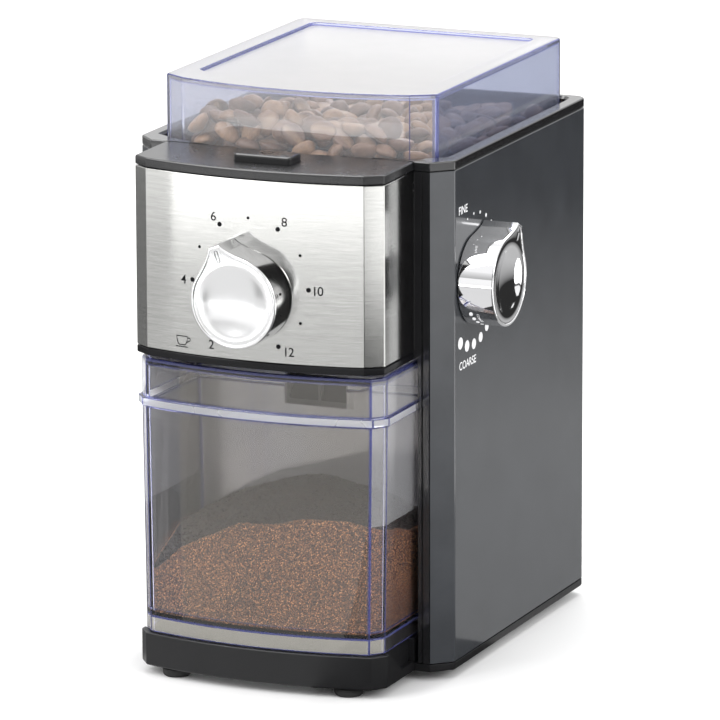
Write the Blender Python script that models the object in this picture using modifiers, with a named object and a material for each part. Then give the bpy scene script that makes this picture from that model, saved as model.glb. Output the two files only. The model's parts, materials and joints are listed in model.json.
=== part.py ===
"""Burr coffee grinder, built as an assembly of separate pieces.

Sizes below are millimetres in the grinder's own layout: X = 0 is the centre plane with +X the side
that carries the fineness knob, Y = 0 is the front face of the tall housing with +Y to the rear, and
Z = 0 is the underside of the base, with the rubber feet below it. row() moves a layout point to
metres, in a frame whose origin is the middle of the footprint, on the surface the feet stand on.
"""

import math

import bmesh
import bpy
from mathutils import Matrix, Vector

MM = 0.001
GAP = 0.3                 # running and seating gap between neighbouring pieces

# Housing
HOUSING_HALF = 67.0
HOUSING_REAR = 148.3
HOUSING_CHAMFER = 7.5
HOUSING_CORNER = 5.0
WALL = 2.5
SEAM_LOW = 3.4            # seam between the bottom pan and the housing shell
SEAM_HIGH = 201.0         # seam between the housing shell and the top rim
RIM_TOP = 205.0
RIM_SKIRT_LOW = 196.0

# Head, container and base platform share one bowed front
FRONT_HALF = 52.8
FRONT_Y = -39.2
FRONT_RADIUS = 185.7
FRONT_CORNER = 4.4
HEAD_CORNER = 5.8
PLATFORM_TOP = 13.4
HEAD_LOW = 126.2
STEEL_LOW = 129.1
STEEL_HIGH = 201.4
STEEL_SHEET = 1.0

# Container bay in the front of the housing
BAY_HALF = 54.4
BAY_REAR = 30.0
BAY_TOP = 126.0
FRAME_HALF = 59.2
GROOVE_X = 56.3

# Ground coffee container and its lid
CONTAINER_HALF = 52.4
CONTAINER_TAPER = 1.2
CONTAINER_LOW = 13.7
CONTAINER_FLOOR = 19.6
CONTAINER_TOP = 105.1
CONTAINER_REAR = 27.0
CONTAINER_LID_LOW = 105.4
CONTAINER_LID_TOP = 124.6
CLEAR_WALL = 2.0
WINDOW_HALF = 13.3
WINDOW_LOW = 97.6

# Hopper lid
LID_HALF = 58.1
LID_REAR = 143.3
LID_FRONT = -1.7
LID_RADIUS = 155.7
LID_CORNER = 11.0
LID_LOW = 196.1
LID_TOP = 229.7
LID_RECESS_HALF = 49.0
LID_RECESS_FRONT = 21.0
LID_RECESS_REAR = 135.0
LID_RECESS_DEPTH = 1.6
LID_GAP = 2.9

# Knobs
KNOB_R = 18.0
KNOB_TIP_R = 23.2
KNOB_TIP_HALF = 2.2
KNOB_DISH_R = 13.8
KNOB_DISH_DEPTH = 3.0
PORTION_Z = 155.3
PORTION_FACE = -54.0
PORTION_ANGLE = -20.5     # pointer angle from straight up, clockwise as seen from outside
FINENESS_Y = 27.0
FINENESS_Z = 154.5
FINENESS_FACE = 82.2
FINENESS_ANGLE = 29.0

# Start button
BUTTON_HALF_X = 12.2
BUTTON_FRONT = -26.0
BUTTON_REAR = -15.2
BUTTON_TOP = 208.2
BUTTON_Y = (BUTTON_FRONT + BUTTON_REAR) / 2

# Mill and drive, on two vertical axes
BURR_Y = 76.0
GEAR_MODULE = 1.25
DRIVE_TEETH = 44
PINION_TEETH = 11
MOTOR_Y = BURR_Y + GEAR_MODULE * (DRIVE_TEETH + PINION_TEETH) / 2
GEARBOX_FLOOR = 86.0
GEARBOX_TOP = 107.7
CHAMBER_FLOOR = 108.0
CHAMBER_TOP = 142.0
CHAMBER_R = 27.0
CHAMBER_BORE = 24.0
BURR_R = 20.0
PILLAR_X = 40.0
PILLAR_ROWS = (62.0, 128.0)
PILLARS = [(x, y) for y in PILLAR_ROWS for x in (-PILLAR_X, PILLAR_X)]
PILLAR_R = 4.5
BAR_HIGH = 2.8            # top of the gearbox's cross bars above its underside

# Fineness train: knob pinion, rack along Y, toothed adjusting ring
FINE_MODULE = 1.25
FINE_PINION_TEETH = 8
RING_TEETH = 62
RING_R = FINE_MODULE * RING_TEETH / 2
RING_LOW = 143.3
RING_HIGH = 147.3
RACK_IN = RING_R + 1.5
RACK_OUT = 45.2

# Feet and base screws
FOOT_R = 5.8
FOOT_HIGH = 3.5
FEET = {"front_left": (-37.0, -28.5), "front_right": (37.0, -28.5),
        "rear_left": (-50.0, 132.0), "rear_right": (50.0, 132.0)}
BASE_SCREWS = {"front_left": (-61.3, 16.0), "front_right": (61.3, 16.0),
               "rear_left": (-61.0, 142.0), "rear_right": (61.0, 142.0)}

GLAND_X = 40.0
GLAND_Z = 22.0
GLAND_REAR = HOUSING_REAR + 3.2

ORIGIN = Vector(((FINENESS_FACE - HOUSING_HALF) / 2, (GLAND_REAR + PORTION_FACE) / 2, -FOOT_HIGH))

TURN_Z = Matrix.Identity(3)
TURN_Y = Matrix(((1, 0, 0), (0, 0, 1), (0, -1, 0)))
TURN_X = Matrix(((0, 0, 1), (0, 1, 0), (-1, 0, 0)))
PLANE_Z = Matrix.Identity(3)
PLANE_Y = Matrix(((1, 0, 0), (0, 0, -1), (0, 1, 0)))
PLANE_X = Matrix(((0, 0, 1), (1, 0, 0), (0, 1, 0)))

for old in list(bpy.data.objects):
    bpy.data.objects.remove(old, do_unlink=True)

GRINDER = bpy.data.collections.new("burr_coffee_grinder")
CUTTERS = bpy.data.collections.new("cutters")
for group in (GRINDER, CUTTERS):
    bpy.context.scene.collection.children.link(group)


# ---------------------------------------------------------------- frame and objects

def row(x, y, z):
    """A layout point in millimetres, as metres in the part's frame."""
    return (Vector((x, y, z)) - ORIGIN) * MM


def add_object(name, data, matrix=None):
    """Link an object for the data, at a matrix in metres."""
    thing = bpy.data.objects.new(name, data)
    GRINDER.objects.link(thing)
    if matrix is not None:
        thing.matrix_world = matrix
    return thing


def placed(turn, point):
    """The matrix of an object turned by a 3x3 matrix and moved to a layout point."""
    return Matrix.Translation(row(*point)) @ turn.to_4x4()


def mesh_from(name, bm, matrix=None):
    """Turn a bmesh into a linked object with its faces pointing out."""
    bmesh.ops.recalc_face_normals(bm, faces=bm.faces)
    mesh = bpy.data.meshes.new(name)
    bm.to_mesh(mesh)
    bm.free()
    return add_object(name, mesh, matrix)


def shade_round(thing, angle=35.0):
    """Smooth shading with sharp edges kept above an angle."""
    thing.data.shade_smooth()
    thing.data.set_sharp_from_angle(angle=math.radians(angle))


# ---------------------------------------------------------------- solid makers

def box(name, low, high):
    """An axis-aligned block between two layout corners."""
    size = (Vector(high) - Vector(low)) * MM
    bm = bmesh.new()
    bmesh.ops.create_cube(bm, size=1.0, matrix=Matrix.Diagonal(size).to_4x4())
    middle = (Vector(high) + Vector(low)) / 2
    return mesh_from(name, bm, placed(TURN_Z, middle))


def along(turn, at, height):
    """The layout point at a height along a turned axis that passes through at."""
    first, second = at
    if turn is TURN_X:
        return (height, first, second)
    if turn is TURN_Y:
        return (first, height, second)
    return (first, second, height)


def cylinder(name, radius, low, high, at, turn=TURN_Z, segments=16):
    """A round bar from low to high along its axis."""
    bm = bmesh.new()
    bmesh.ops.create_cone(bm, cap_ends=True, segments=segments, radius1=radius * MM,
                          radius2=radius * MM, depth=(high - low) * MM)
    thing = mesh_from(name, bm, placed(turn, along(turn, at, (low + high) / 2)))
    shade_round(thing)
    return thing


def turned(name, profile, at, turn=TURN_Z, steps=20):
    """A turned solid: (radius, height) points down the outer side, closed to the axis or in a ring."""
    bm = bmesh.new()
    points = [bm.verts.new((radius * MM, 0.0, height * MM)) for radius, height in profile]
    for first, second in zip(points, points[1:]):
        bm.edges.new((first, second))
    if profile[0][0] > 0.0:
        bm.edges.new((points[-1], points[0]))
    mesh = bpy.data.meshes.new(name)
    bm.to_mesh(mesh)
    bm.free()
    thing = add_object(name, mesh, placed(turn, along(turn, at, 0.0)))
    screw = thing.modifiers.new("turn", "SCREW")
    screw.axis = "Z"
    screw.steps = steps
    screw.render_steps = steps
    screw.use_merge_vertices = True
    screw.merge_threshold = 0.00001
    return solid_mesh(thing)


def ring(name, outer, inner, low, high, at, turn=TURN_Z, steps=20):
    """A plain ring or tube."""
    profile = [(outer, high), (outer, low), (inner, low), (inner, high)]
    return turned(name, profile, at, turn, steps)


def solid_mesh(thing):
    """Replace an object by the welded mesh of its evaluated shape."""
    graph = bpy.context.evaluated_depsgraph_get()
    mesh = bpy.data.meshes.new_from_object(thing.evaluated_get(graph))
    bm = bmesh.new()
    bm.from_mesh(mesh)
    bmesh.ops.remove_doubles(bm, verts=bm.verts, dist=0.000001)
    bmesh.ops.recalc_face_normals(bm, faces=bm.faces)
    bm.to_mesh(mesh)
    bm.free()
    name = thing.name
    matrix = thing.matrix_world.copy()
    bpy.data.objects.remove(thing, do_unlink=True)
    made = add_object(name, mesh, matrix)
    shade_round(made)
    return made


def plate(name, outline, low, high, plane=PLANE_Z, holes=()):
    """A flat outline, with any holes, filled and extruded from low to high."""
    curve = bpy.data.curves.new(name, "CURVE")
    curve.dimensions = "2D"
    curve.fill_mode = "BOTH"
    curve.extrude = (high - low) / 2 * MM
    for loop in (outline, *holes):
        spline = curve.splines.new("POLY")
        spline.points.add(len(loop) - 1)
        for point, (u, v) in zip(spline.points, loop):
            point.co = (u * MM, v * MM, 0.0, 1.0)
        spline.use_cyclic_u = True
    across = [abs(part) * (low + high) / 2 for part in plane.col[2]]
    thing = add_object(name, curve, placed(plane, across))
    bpy.context.view_layer.update()
    return solid_mesh(thing)


def loft(name, sections):
    """A closed skin through layout sections that all have the same number of points."""
    bm = bmesh.new()
    rings = [[bm.verts.new(row(*point)) for point in section] for section in sections]
    for lower, upper in zip(rings, rings[1:]):
        for index in range(len(lower)):
            following = (index + 1) % len(lower)
            bm.faces.new((lower[index], lower[following], upper[following], upper[index]))
    bm.faces.new(rings[0])
    bm.faces.new(rings[-1])
    thing = mesh_from(name, bm)
    shade_round(thing)
    return thing


def tube(name, route, radius, sides=2):
    """A round wire along a list of layout points."""
    curve = bpy.data.curves.new(name, "CURVE")
    curve.dimensions = "3D"
    curve.bevel_depth = radius * MM
    curve.bevel_resolution = sides
    curve.use_fill_caps = True
    spline = curve.splines.new("POLY")
    spline.points.add(len(route) - 1)
    for point, place in zip(spline.points, route):
        point.co = (*row(*place), 1.0)
    thing = add_object(name, curve)
    bpy.context.view_layer.update()
    return solid_mesh(thing)


# ---------------------------------------------------------------- shaping

def hide_tool(tool):
    """Move a cutter or an added solid out of the grinder's own collection."""
    GRINDER.objects.unlink(tool)
    CUTTERS.objects.link(tool)
    tool.hide_render = True
    tool.display_type = "WIRE"


def combine(thing, tools, operation):
    """Boolean each tool with the object."""
    for tool in tools:
        change = thing.modifiers.new(operation.lower(), "BOOLEAN")
        change.operation = operation
        change.solver = "EXACT"
        change.object = tool
        hide_tool(tool)
    return thing


def cut(thing, *tools):
    """Take each tool away from the object."""
    return combine(thing, tools, "DIFFERENCE")


def join(thing, *tools):
    """Add each tool to the object."""
    return combine(thing, tools, "UNION")


def soften(thing, width, angle=50.0):
    """Round the edges that turn by more than an angle."""
    bevel = thing.modifiers.new("soften", "BEVEL")
    bevel.width = width * MM
    bevel.segments = 1
    bevel.limit_method = "ANGLE"
    bevel.angle_limit = math.radians(angle)
    return thing


def paint(things, colour, roughness, metallic=0.0, alpha=1.0):
    """Give each object its own material."""
    for thing in things:
        material = bpy.data.materials.new(thing.name)
        material.use_nodes = True
        shader = material.node_tree.nodes["Principled BSDF"]
        shader.inputs["Base Color"].default_value = (*colour, 1.0)
        shader.inputs["Roughness"].default_value = roughness
        shader.inputs["Metallic"].default_value = metallic
        shader.inputs["Alpha"].default_value = alpha
        thing.data.materials.clear()
        thing.data.materials.append(material)


def hang_on(name, point, things):
    """Parent moving pieces to an empty on their joint's axis."""
    pivot = add_object(name, None, Matrix.Translation(row(*point)))
    bpy.context.view_layer.update()
    for thing in things:
        thing.parent = pivot
        thing.matrix_parent_inverse = pivot.matrix_world.inverted()


# ---------------------------------------------------------------- outlines

def arc(centre, radius, start, end, steps):
    """Points on an arc; angles in degrees, clockwise from straight up (+v)."""
    points = []
    for step in range(steps + 1):
        angle = math.radians(start + (end - start) * step / steps)
        points.append((centre[0] + radius * math.sin(angle), centre[1] + radius * math.cos(angle)))
    return points


def mirrored(points):
    """The right half of an outline, from the centre line on, closed by its mirror image."""
    return points + [(-u, v) for u, v in reversed(points) if abs(u) > 0.001]


def bowed_outline(half, rear, front, radius, corner, rear_corner=0.0, inset=0.0, steps=6):
    """A straight-sided outline with a bowed front, chamfered front corners and a flat rear."""
    middle = front + radius
    half, rear, radius = half - inset, rear - inset, radius - inset
    corner = max(corner - inset, 0.5)
    sweep = math.degrees(math.asin((half - corner) / (radius - corner)))
    corner_y = middle - math.sqrt((radius - corner) ** 2 - (half - corner) ** 2)
    points = arc((0.0, middle), radius, 180.0, 180.0 - sweep, steps)
    points.append((half, corner_y))
    rear_corner = rear_corner - inset
    if rear_corner > 0.2:
        points += arc((half - rear_corner, rear - rear_corner), rear_corner, 90.0, 0.0, 2)
    else:
        points.append((half, rear))
    return mirrored(points)


def front_outline(rear, inset=0.0, corner=FRONT_CORNER):
    """The bowed plan that the head and the base platform share."""
    return bowed_outline(FRONT_HALF, rear, FRONT_Y, FRONT_RADIUS, corner, inset=inset)


def head_outline(rear, inset=0.0):
    """The plan of the head, with wider corners than the platform's."""
    return front_outline(rear, inset, HEAD_CORNER)


def container_outline(half, inset=0.0):
    """The plan of the ground coffee container and its lid."""
    front = FRONT_Y + FRONT_HALF - half + 1.2
    return bowed_outline(half, CONTAINER_REAR, front, FRONT_RADIUS, 5.0, 3.0, inset)


def lid_outline(inset=0.0):
    """The plan of the hopper lid; a negative inset gives the opening around it."""
    return bowed_outline(LID_HALF, LID_REAR, LID_FRONT, LID_RADIUS, LID_CORNER, 4.0, inset)


def opening_outline(inset=0.0):
    """The plan of the opening in the top rim that the hopper lid drops into."""
    return bowed_outline(LID_HALF + LID_GAP, LID_REAR + 1.0, LID_FRONT - 1.0, LID_RADIUS + 1.0,
                         LID_CORNER + LID_GAP, 4.5, inset)


def lip_outline(margin):
    """The plan of the front lip that carries the rim and the hopper past the housing's front face."""
    grown = 1.0 + margin
    return bowed_outline(FRONT_HALF - 2.0, 40.0, LID_FRONT - grown, LID_RADIUS + grown, LID_CORNER)


def housing_side(inset):
    """The right side of the housing's plan, from its front chamfer to its rear corner."""
    slant = inset * math.tan(math.radians(22.5))
    corner = HOUSING_CORNER - inset
    edge = HOUSING_HALF - HOUSING_CHAMFER - slant
    points = [(edge, inset), (HOUSING_HALF - inset, HOUSING_CHAMFER + slant)]
    centre = (HOUSING_HALF - HOUSING_CORNER, HOUSING_REAR - HOUSING_CORNER)
    return points + arc(centre, corner, 90.0, 0.0, 4)


def housing_outline(inset=0.0):
    """The whole plan of the tall housing."""
    return mirrored(housing_side(inset))


def wall_outline():
    """The U-shaped plan of the housing shell, open at the front."""
    outer = housing_side(0.0)
    inner = housing_side(WALL)[1:]
    start = (outer[0][0], WALL * math.sqrt(2.0))
    right = [start] + inner
    left = [(-x, y) for x, y in reversed(right)]
    return [(-x, y) for x, y in outer] + [(x, y) for x, y in reversed(outer)] + right + left


def rounded_rectangle(low, high, radius, steps=2):
    """A rectangle with rounded corners between two plan corners."""
    (left, bottom), (right, top) = low, high
    points = arc((right - radius, top - radius), radius, 0.0, 90.0, steps)
    points += arc((right - radius, bottom + radius), radius, 90.0, 180.0, steps)
    points += arc((left + radius, bottom + radius), radius, 180.0, 270.0, steps)
    points += arc((left + radius, top - radius), radius, 270.0, 360.0, steps)
    return points


def superellipse(half_u, half_v, power, centre, height, count=24):
    """A section between a circle (power 2) and a rectangle (high power), at a height."""
    points = []
    for index in range(count):
        angle = 2.0 * math.pi * index / count
        u, v = math.cos(angle), math.sin(angle)
        x = math.copysign(abs(u) ** (2.0 / power), u) * half_u
        y = math.copysign(abs(v) ** (2.0 / power), v) * half_v
        points.append((centre[0] + x, centre[1] + y, height))
    return points


def circle_hull(first, first_r, second, second_r, steps=7):
    """The hull of two circles on one line along +v, the second above the first."""
    lean = math.degrees(math.asin((first_r - second_r) / (second[1] - first[1])))
    lower = arc(first, first_r, 90.0 - lean, 270.0 + lean, steps * 2)
    upper = arc(second, second_r, 270.0 + lean, 450.0 - lean, steps)
    return lower + upper


def gear_outline(teeth, module, centre, phase=0.0, present=None):
    """A gear's outline with straight-flanked teeth and free backlash; phase in tooth pitches."""
    pitch_r = module * teeth / 2
    root, tip = pitch_r - 1.1 * module, pitch_r + 0.8 * module
    pitch = 360.0 / teeth
    flank = ((root, -0.25), (tip, -0.09), (tip, 0.09), (root, 0.25))
    points = []
    for tooth in range(teeth):
        if present is not None and tooth not in present:
            if tooth % 3 == 0:
                angle = math.radians(tooth * pitch)
                points.append((centre[0] + root * math.cos(angle), centre[1] + root * math.sin(angle)))
            continue
        for radius, shift in flank:
            angle = math.radians((tooth + phase + shift) * pitch)
            points.append((centre[0] + radius * math.cos(angle), centre[1] + radius * math.sin(angle)))
    return points


def rack_teeth(module, middle, before, after):
    """Tooth points along a rack, as (distance, height above the root), with a gap at the middle."""
    pitch = math.pi * module
    depth = 1.9 * module
    points = []
    for tooth in range(-before, after):
        centre = middle + (tooth + 0.5) * pitch
        for shift, height in ((-0.25, 0.0), (-0.09, depth), (0.09, depth), (0.25, 0.0)):
            points.append((centre + shift * pitch, height))
    return points


def knob_outline(angle, centre):
    """A round knob with a pointer beak, turned clockwise by an angle."""
    spread = 38.0
    turn = math.radians(spread)
    start = Vector((KNOB_R * math.sin(turn), KNOB_R * math.cos(turn)))
    control = start + Vector((-math.cos(turn), math.sin(turn))) * 9.0
    end = Vector((KNOB_TIP_HALF, KNOB_TIP_R))
    beak = []
    for step in range(4):
        t = step / 4.0
        beak.append(end * (1 - t) ** 2 + control * 2 * t * (1 - t) + start * t ** 2)
    right = [tuple(point) for point in beak] + arc((0.0, 0.0), KNOB_R, spread, 180.0, 12)
    cosine, sine = math.cos(math.radians(angle)), math.sin(math.radians(angle))
    points = []
    for u, v in mirrored(right):
        points.append((centre[0] + u * cosine + v * sine, centre[1] - u * sine + v * cosine))
    return points


# ---------------------------------------------------------------- base and feet

def make_base():
    """Bottom pan of the housing in one moulding with the hollow front platform."""
    base = plate("base", housing_outline(), 0.0, SEAM_LOW - GAP)
    platform = plate("platform", front_outline(BAY_REAR - GAP), 0.0, PLATFORM_TOP)
    join(base, platform)
    hollow = plate("platform_hollow", front_outline(BAY_REAR - 3.0, 2.5), -1.0, PLATFORM_TOP - 2.5)
    ribs = [box("rib_%d" % index, (x - 1.0, -50.0, -2.0), (x + 1.0, 40.0, 20.0))
            for index, x in enumerate((-18.0, 18.0))]
    bosses = [cylinder("boss_" + name, FOOT_R + 1.4, -2.0, 20.0, FEET[name])
              for name in ("front_left", "front_right")]
    cut(hollow, *ribs, *bosses)
    cut(base, hollow)
    side_profile = [(-26.5, 14.4), (-12.5, 4.0), (-GAP, 4.0), (-GAP, 14.4)]
    for sign in (-1, 1):
        reach = sorted((sign * 50.4, sign * 54.0))
        cut(base, plate("grip_notch", side_profile, reach[0], reach[1], PLANE_X))
    for index, (x, y) in enumerate(PILLARS):
        pillar = cylinder("pillar_%d" % index, PILLAR_R, 1.0, GEARBOX_FLOOR - 0.1, (x, y), segments=12)
        join(base, pillar)
    for index, (x, y) in enumerate(PILLARS):
        cut(base, cylinder("pillar_bore_%d" % index, 1.8, 72.0, 90.0, (x, y), segments=10))
    for x, y in FEET.values():
        cut(base, cylinder("foot_hole", 2.8, -1.0, 2.4, (x, y), segments=10))
    for x, y in BASE_SCREWS.values():
        cut(base, cylinder("screw_hole", 1.9, -1.0, 5.0, (x, y), segments=10))
        cut(base, cylinder("screw_recess", 3.6, -1.0, 1.6, (x, y), segments=10))
    for index in range(5):
        x = (index - 2) * 10.0
        cut(base, box("air_slot_%d" % index, (x - 1.5, 84.0, -1.0), (x + 1.5, 136.0, 5.0)))
    return base


def make_feet():
    """Four rubber feet, each with a stem pressed into the base."""
    feet = []
    for name, at in FEET.items():
        profile = [(0.0, 2.0), (2.5, 2.0), (2.5, -GAP), (FOOT_R, -GAP), (FOOT_R, -2.9),
                   (FOOT_R - 0.6, -FOOT_HIGH), (0.0, -FOOT_HIGH)]
        feet.append(turned("foot_" + name, profile, at, steps=16))
    return feet


def make_screw(name, at, head_low, head_r, head_high, shank_r, shank_end):
    """A screw with a cross recess; the head lies between two heights and the shank runs on from it."""
    upward = shank_end > head_high
    near, far = (head_high, head_low) if upward else (head_low, head_high)
    profile = [(0.0, shank_end), (shank_r, shank_end), (shank_r, near), (head_r, near),
               (head_r, far), (0.0, far)]
    if not upward:
        profile.reverse()
    screw = turned(name, profile, at, steps=10)
    into = (far - 1.0, far + 1.0)
    cut(screw, box("cross_a", (at[0] - 0.35, at[1] - head_r * 0.6, into[0]),
                   (at[0] + 0.35, at[1] + head_r * 0.6, into[1])))
    cut(screw, box("cross_b", (at[0] - head_r * 0.6, at[1] - 0.35, into[0]),
                   (at[0] + head_r * 0.6, at[1] + 0.35, into[1])))
    return screw


def make_screws():
    """Base screws, up into the shell's bosses, and gearbox screws, down into the base pillars."""
    screws = [make_screw("base_screw_" + name, at, 0.0, 3.2, 1.3, 1.5, 16.0)
              for name, at in BASE_SCREWS.items()]
    top = GEARBOX_FLOOR + BAR_HIGH + GAP
    screws += [make_screw("gearbox_screw_%d" % (index + 1), at, top, 3.2, top + 2.0, 1.5, 76.0)
               for index, at in enumerate(PILLARS)]
    return screws


# ---------------------------------------------------------------- housing

def make_shell():
    """Side and rear walls of the housing, with screw bosses, a knob hole and rear air slots."""
    shell = plate("housing_shell", wall_outline(), SEAM_LOW, SEAM_HIGH)
    for name, at in BASE_SCREWS.items():
        join(shell, cylinder("shell_boss_" + name, 4.0, SEAM_LOW + 0.2, 22.0, at, segments=12))
    for name, at in BASE_SCREWS.items():
        cut(shell, cylinder("shell_bore_" + name, 1.8, 0.0, 18.0, at, segments=10))
    cut(shell, cylinder("knob_hole", 6.3, 60.0, 70.0, (FINENESS_Y, FINENESS_Z), TURN_X, 24))
    cut(shell, cylinder("gland_hole", 5.6, 140.0, 150.0, (GLAND_X, GLAND_Z), TURN_Y, 24))
    for index in range(7):
        x = (index - 3) * 8.0
        cut(shell, box("rear_slot_%d" % index, (x - 1.5, 140.0, 34.0), (x + 1.5, 150.0, 66.0)))
    return shell


def make_front_frame():
    """Front plate of the housing with the container bay behind it."""
    edge = [(-FRAME_HALF, SEAM_LOW), (-FRAME_HALF, SEAM_HIGH), (-FRONT_HALF, SEAM_HIGH),
            (-FRONT_HALF, 192.6), (FRONT_HALF, 192.6), (FRONT_HALF, SEAM_HIGH),
            (FRAME_HALF, SEAM_HIGH), (FRAME_HALF, SEAM_LOW)]
    frame = plate("front_frame", edge, 0.0, WALL, PLANE_Y)
    outer = BAY_HALF + WALL
    join(frame, box("bay", (-outer, 0.5, SEAM_LOW), (outer, BAY_REAR + WALL, BAY_TOP + WALL)))
    cut(frame, box("bay_inside", (-BAY_HALF, -5.0, 0.0), (BAY_HALF, BAY_REAR, BAY_TOP)))
    pad = rounded_rectangle((-17.6, 95.0), (18.8, 112.0), 1.5)
    join(frame, plate("mouth_pad", pad, BAY_REAR - 1.2, BAY_REAR + 1.0, PLANE_Y))
    cut(frame, box("mouth_hole", (-15.3, 20.0, 96.6), (15.3, 40.0, 110.4)))
    cut(frame, box("wiring_window", (-30.0, -5.0, 140.0), (30.0, 5.0, 180.0)))
    for sign in (-1, 1):
        x = sign * GROOVE_X
        cut(frame, box("groove", (x - 0.35, -5.0, 0.0), (x + 0.35, 0.8, 210.0)))
    return frame


def make_top_rim():
    """Black rim that crowns the housing and frames the hopper lid."""
    rim = plate("top_rim", housing_outline(), SEAM_HIGH + GAP, RIM_TOP)
    join(rim, plate("rim_skirt", housing_outline(WALL + GAP), RIM_SKIRT_LOW, SEAM_HIGH + 1.0))
    join(rim, plate("rim_front", lip_outline(3.0), RIM_SKIRT_LOW, SEAM_HIGH))
    cut(rim, plate("rim_opening", opening_outline(), RIM_SKIRT_LOW - 5.0, RIM_TOP + 5.0))
    cover_room = head_outline(0.0, -GAP)
    cut(rim, plate("cover_room", cover_room, STEEL_HIGH - GAP, RIM_TOP + 5.0))
    return rim


def make_cord_gland():
    """Cord inlet in the rear wall, a flanged bush with a through hole."""
    outside = HOUSING_REAR + GAP
    inside = HOUSING_REAR - WALL - GAP
    profile = [(6.4, GLAND_REAR), (7.6, GLAND_REAR - 0.8), (7.6, outside), (5.3, outside), (5.3, inside),
               (7.0, inside), (7.0, inside - 2.0), (3.6, inside - 2.0), (3.6, GLAND_REAR)]
    return turned("cord_gland", profile, (GLAND_X, GLAND_Z), TURN_Y)


# ---------------------------------------------------------------- head

def make_head_body():
    """Black lower tray of the head with the inner walls that carry the steel panel."""
    rear = -GAP
    body = plate("head_body", head_outline(rear), HEAD_LOW, STEEL_LOW)
    inner = plate("head_walls", head_outline(rear, STEEL_SHEET + GAP), STEEL_LOW - 1.0, SEAM_HIGH)
    join(body, inner)
    room = head_outline(rear + 20.0, STEEL_SHEET + GAP + 2.2)
    cut(body, plate("head_room", room, HEAD_LOW + 2.4, SEAM_HIGH + 5.0))
    cut(body, cylinder("timer_hole", 7.4, -60.0, -30.0, (0.0, PORTION_Z), TURN_Y, 24))
    return body


def make_steel_panel():
    """Brushed steel sheet wrapped round the front and sides of the head."""
    low, high = STEEL_LOW + GAP, SEAM_HIGH
    panel = plate("steel_panel", head_outline(-GAP), low, high)
    cut(panel, plate("sheet_room", head_outline(20.0, STEEL_SHEET), low - 1.0, high + 1.0))
    cut(panel, cylinder("panel_hole", 3.6, -60.0, -30.0, (0.0, PORTION_Z), TURN_Y, 24))
    return panel


def make_head_cover():
    """Black top cover of the head, cut back round the rim's opening and open for the button."""
    cover = plate("head_cover", head_outline(-GAP), STEEL_HIGH, RIM_TOP)
    cut(cover, plate("rim_room", opening_outline(-GAP), STEEL_HIGH - 2.0, RIM_TOP + 2.0))
    soften(cover, 0.5)
    hole = rounded_rectangle((-BUTTON_HALF_X - GAP, BUTTON_FRONT - GAP),
                             (BUTTON_HALF_X + GAP, BUTTON_REAR + GAP), 1.6)
    cut(cover, plate("button_hole", hole, STEEL_HIGH - 2.0, RIM_TOP + 2.0))
    return cover


def make_button():
    """Start button with a plunger, its return spring, the switch under it and the control board."""
    outline = rounded_rectangle((-BUTTON_HALF_X, BUTTON_FRONT), (BUTTON_HALF_X, BUTTON_REAR), 1.4)
    cap = plate("start_button", outline, 200.2, BUTTON_TOP)
    soften(cap, 0.5)
    join(cap, cylinder("plunger", 1.8, 198.2, 201.0, (0.0, BUTTON_Y)))
    turns, per_turn = 4, 8
    low, high = 192.9, 199.6
    route = []
    for step in range(turns * per_turn + 1):
        angle = 2.0 * math.pi * step / per_turn
        rise = low + (high - low) * step / (turns * per_turn)
        route.append((3.9 * math.cos(angle), BUTTON_Y + 3.9 * math.sin(angle), rise))
    spring = tube("button_spring", route, 0.35)
    switch = box("start_switch", (-2.2, BUTTON_Y - 2.2, 192.2), (2.2, BUTTON_Y + 2.2, 195.6))
    join(switch, cylinder("switch_pip", 1.2, 195.0, 196.4, (0.0, BUTTON_Y), segments=10))
    board = box("control_board", (-34.0, -31.0, 190.3), (34.0, -9.0, 191.9))
    return cap, spring, switch, board


def make_portion_control():
    """Portion knob, its shaft, and the timer body that the shaft turns."""
    base_y = FRONT_Y - GAP
    knob = plate("portion_knob", knob_outline(PORTION_ANGLE, (0.0, PORTION_Z)), PORTION_FACE, base_y,
                 PLANE_Y)
    shape_knob(knob, (0.0, PORTION_Z), PORTION_FACE, base_y, TURN_Y, 1.0)
    shaft = cylinder("portion_shaft", 3.0, PORTION_FACE + 6.4, -27.0, (0.0, PORTION_Z), TURN_Y, 20)
    timer = box("portion_timer", (-9.0, -35.2, PORTION_Z - 9.0), (9.0, -24.0, PORTION_Z + 9.0))
    collar = ring("timer_collar", 7.0, 2.0, -37.6, -34.0, (0.0, PORTION_Z), TURN_Y, 24)
    join(timer, collar)
    cut(timer, cylinder("timer_bore", 3.3, -45.0, -26.4, (0.0, PORTION_Z), TURN_Y, 20))
    return knob, shaft, timer


def shape_knob(knob, at, face, base, turn, outward):
    """Round a knob's edges and give it a dished face, a hollow back and a bore for its shaft."""
    soften(knob, 0.7)
    sphere_r = (KNOB_DISH_R ** 2 + KNOB_DISH_DEPTH ** 2) / (2.0 * KNOB_DISH_DEPTH)
    centre = face - outward * (sphere_r - KNOB_DISH_DEPTH)
    half_angle = math.degrees(math.asin(KNOB_DISH_R / sphere_r))
    profile = [(u, centre + outward * v) for u, v in arc((0.0, 0.0), sphere_r, 0.0, half_angle, 3)]
    profile += [(KNOB_DISH_R, face - outward * 2.0), (0.0, face - outward * 2.0)]
    if outward > 0:
        profile.reverse()
    cut(knob, turned("knob_dish", profile, at, turn, 24))
    depth = 8.0
    near, far = sorted((base + outward * 1.0, base - outward * depth))
    cut(knob, ring("knob_hollow", 14.6, 6.4, near, far, at, turn, 16))
    bore_end = face + outward * 6.0
    low, high = sorted((base + outward * 1.0, bore_end))
    cut(knob, cylinder("knob_bore", 3.3, low, high, at, turn, 12))


# ---------------------------------------------------------------- hopper and container

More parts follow.
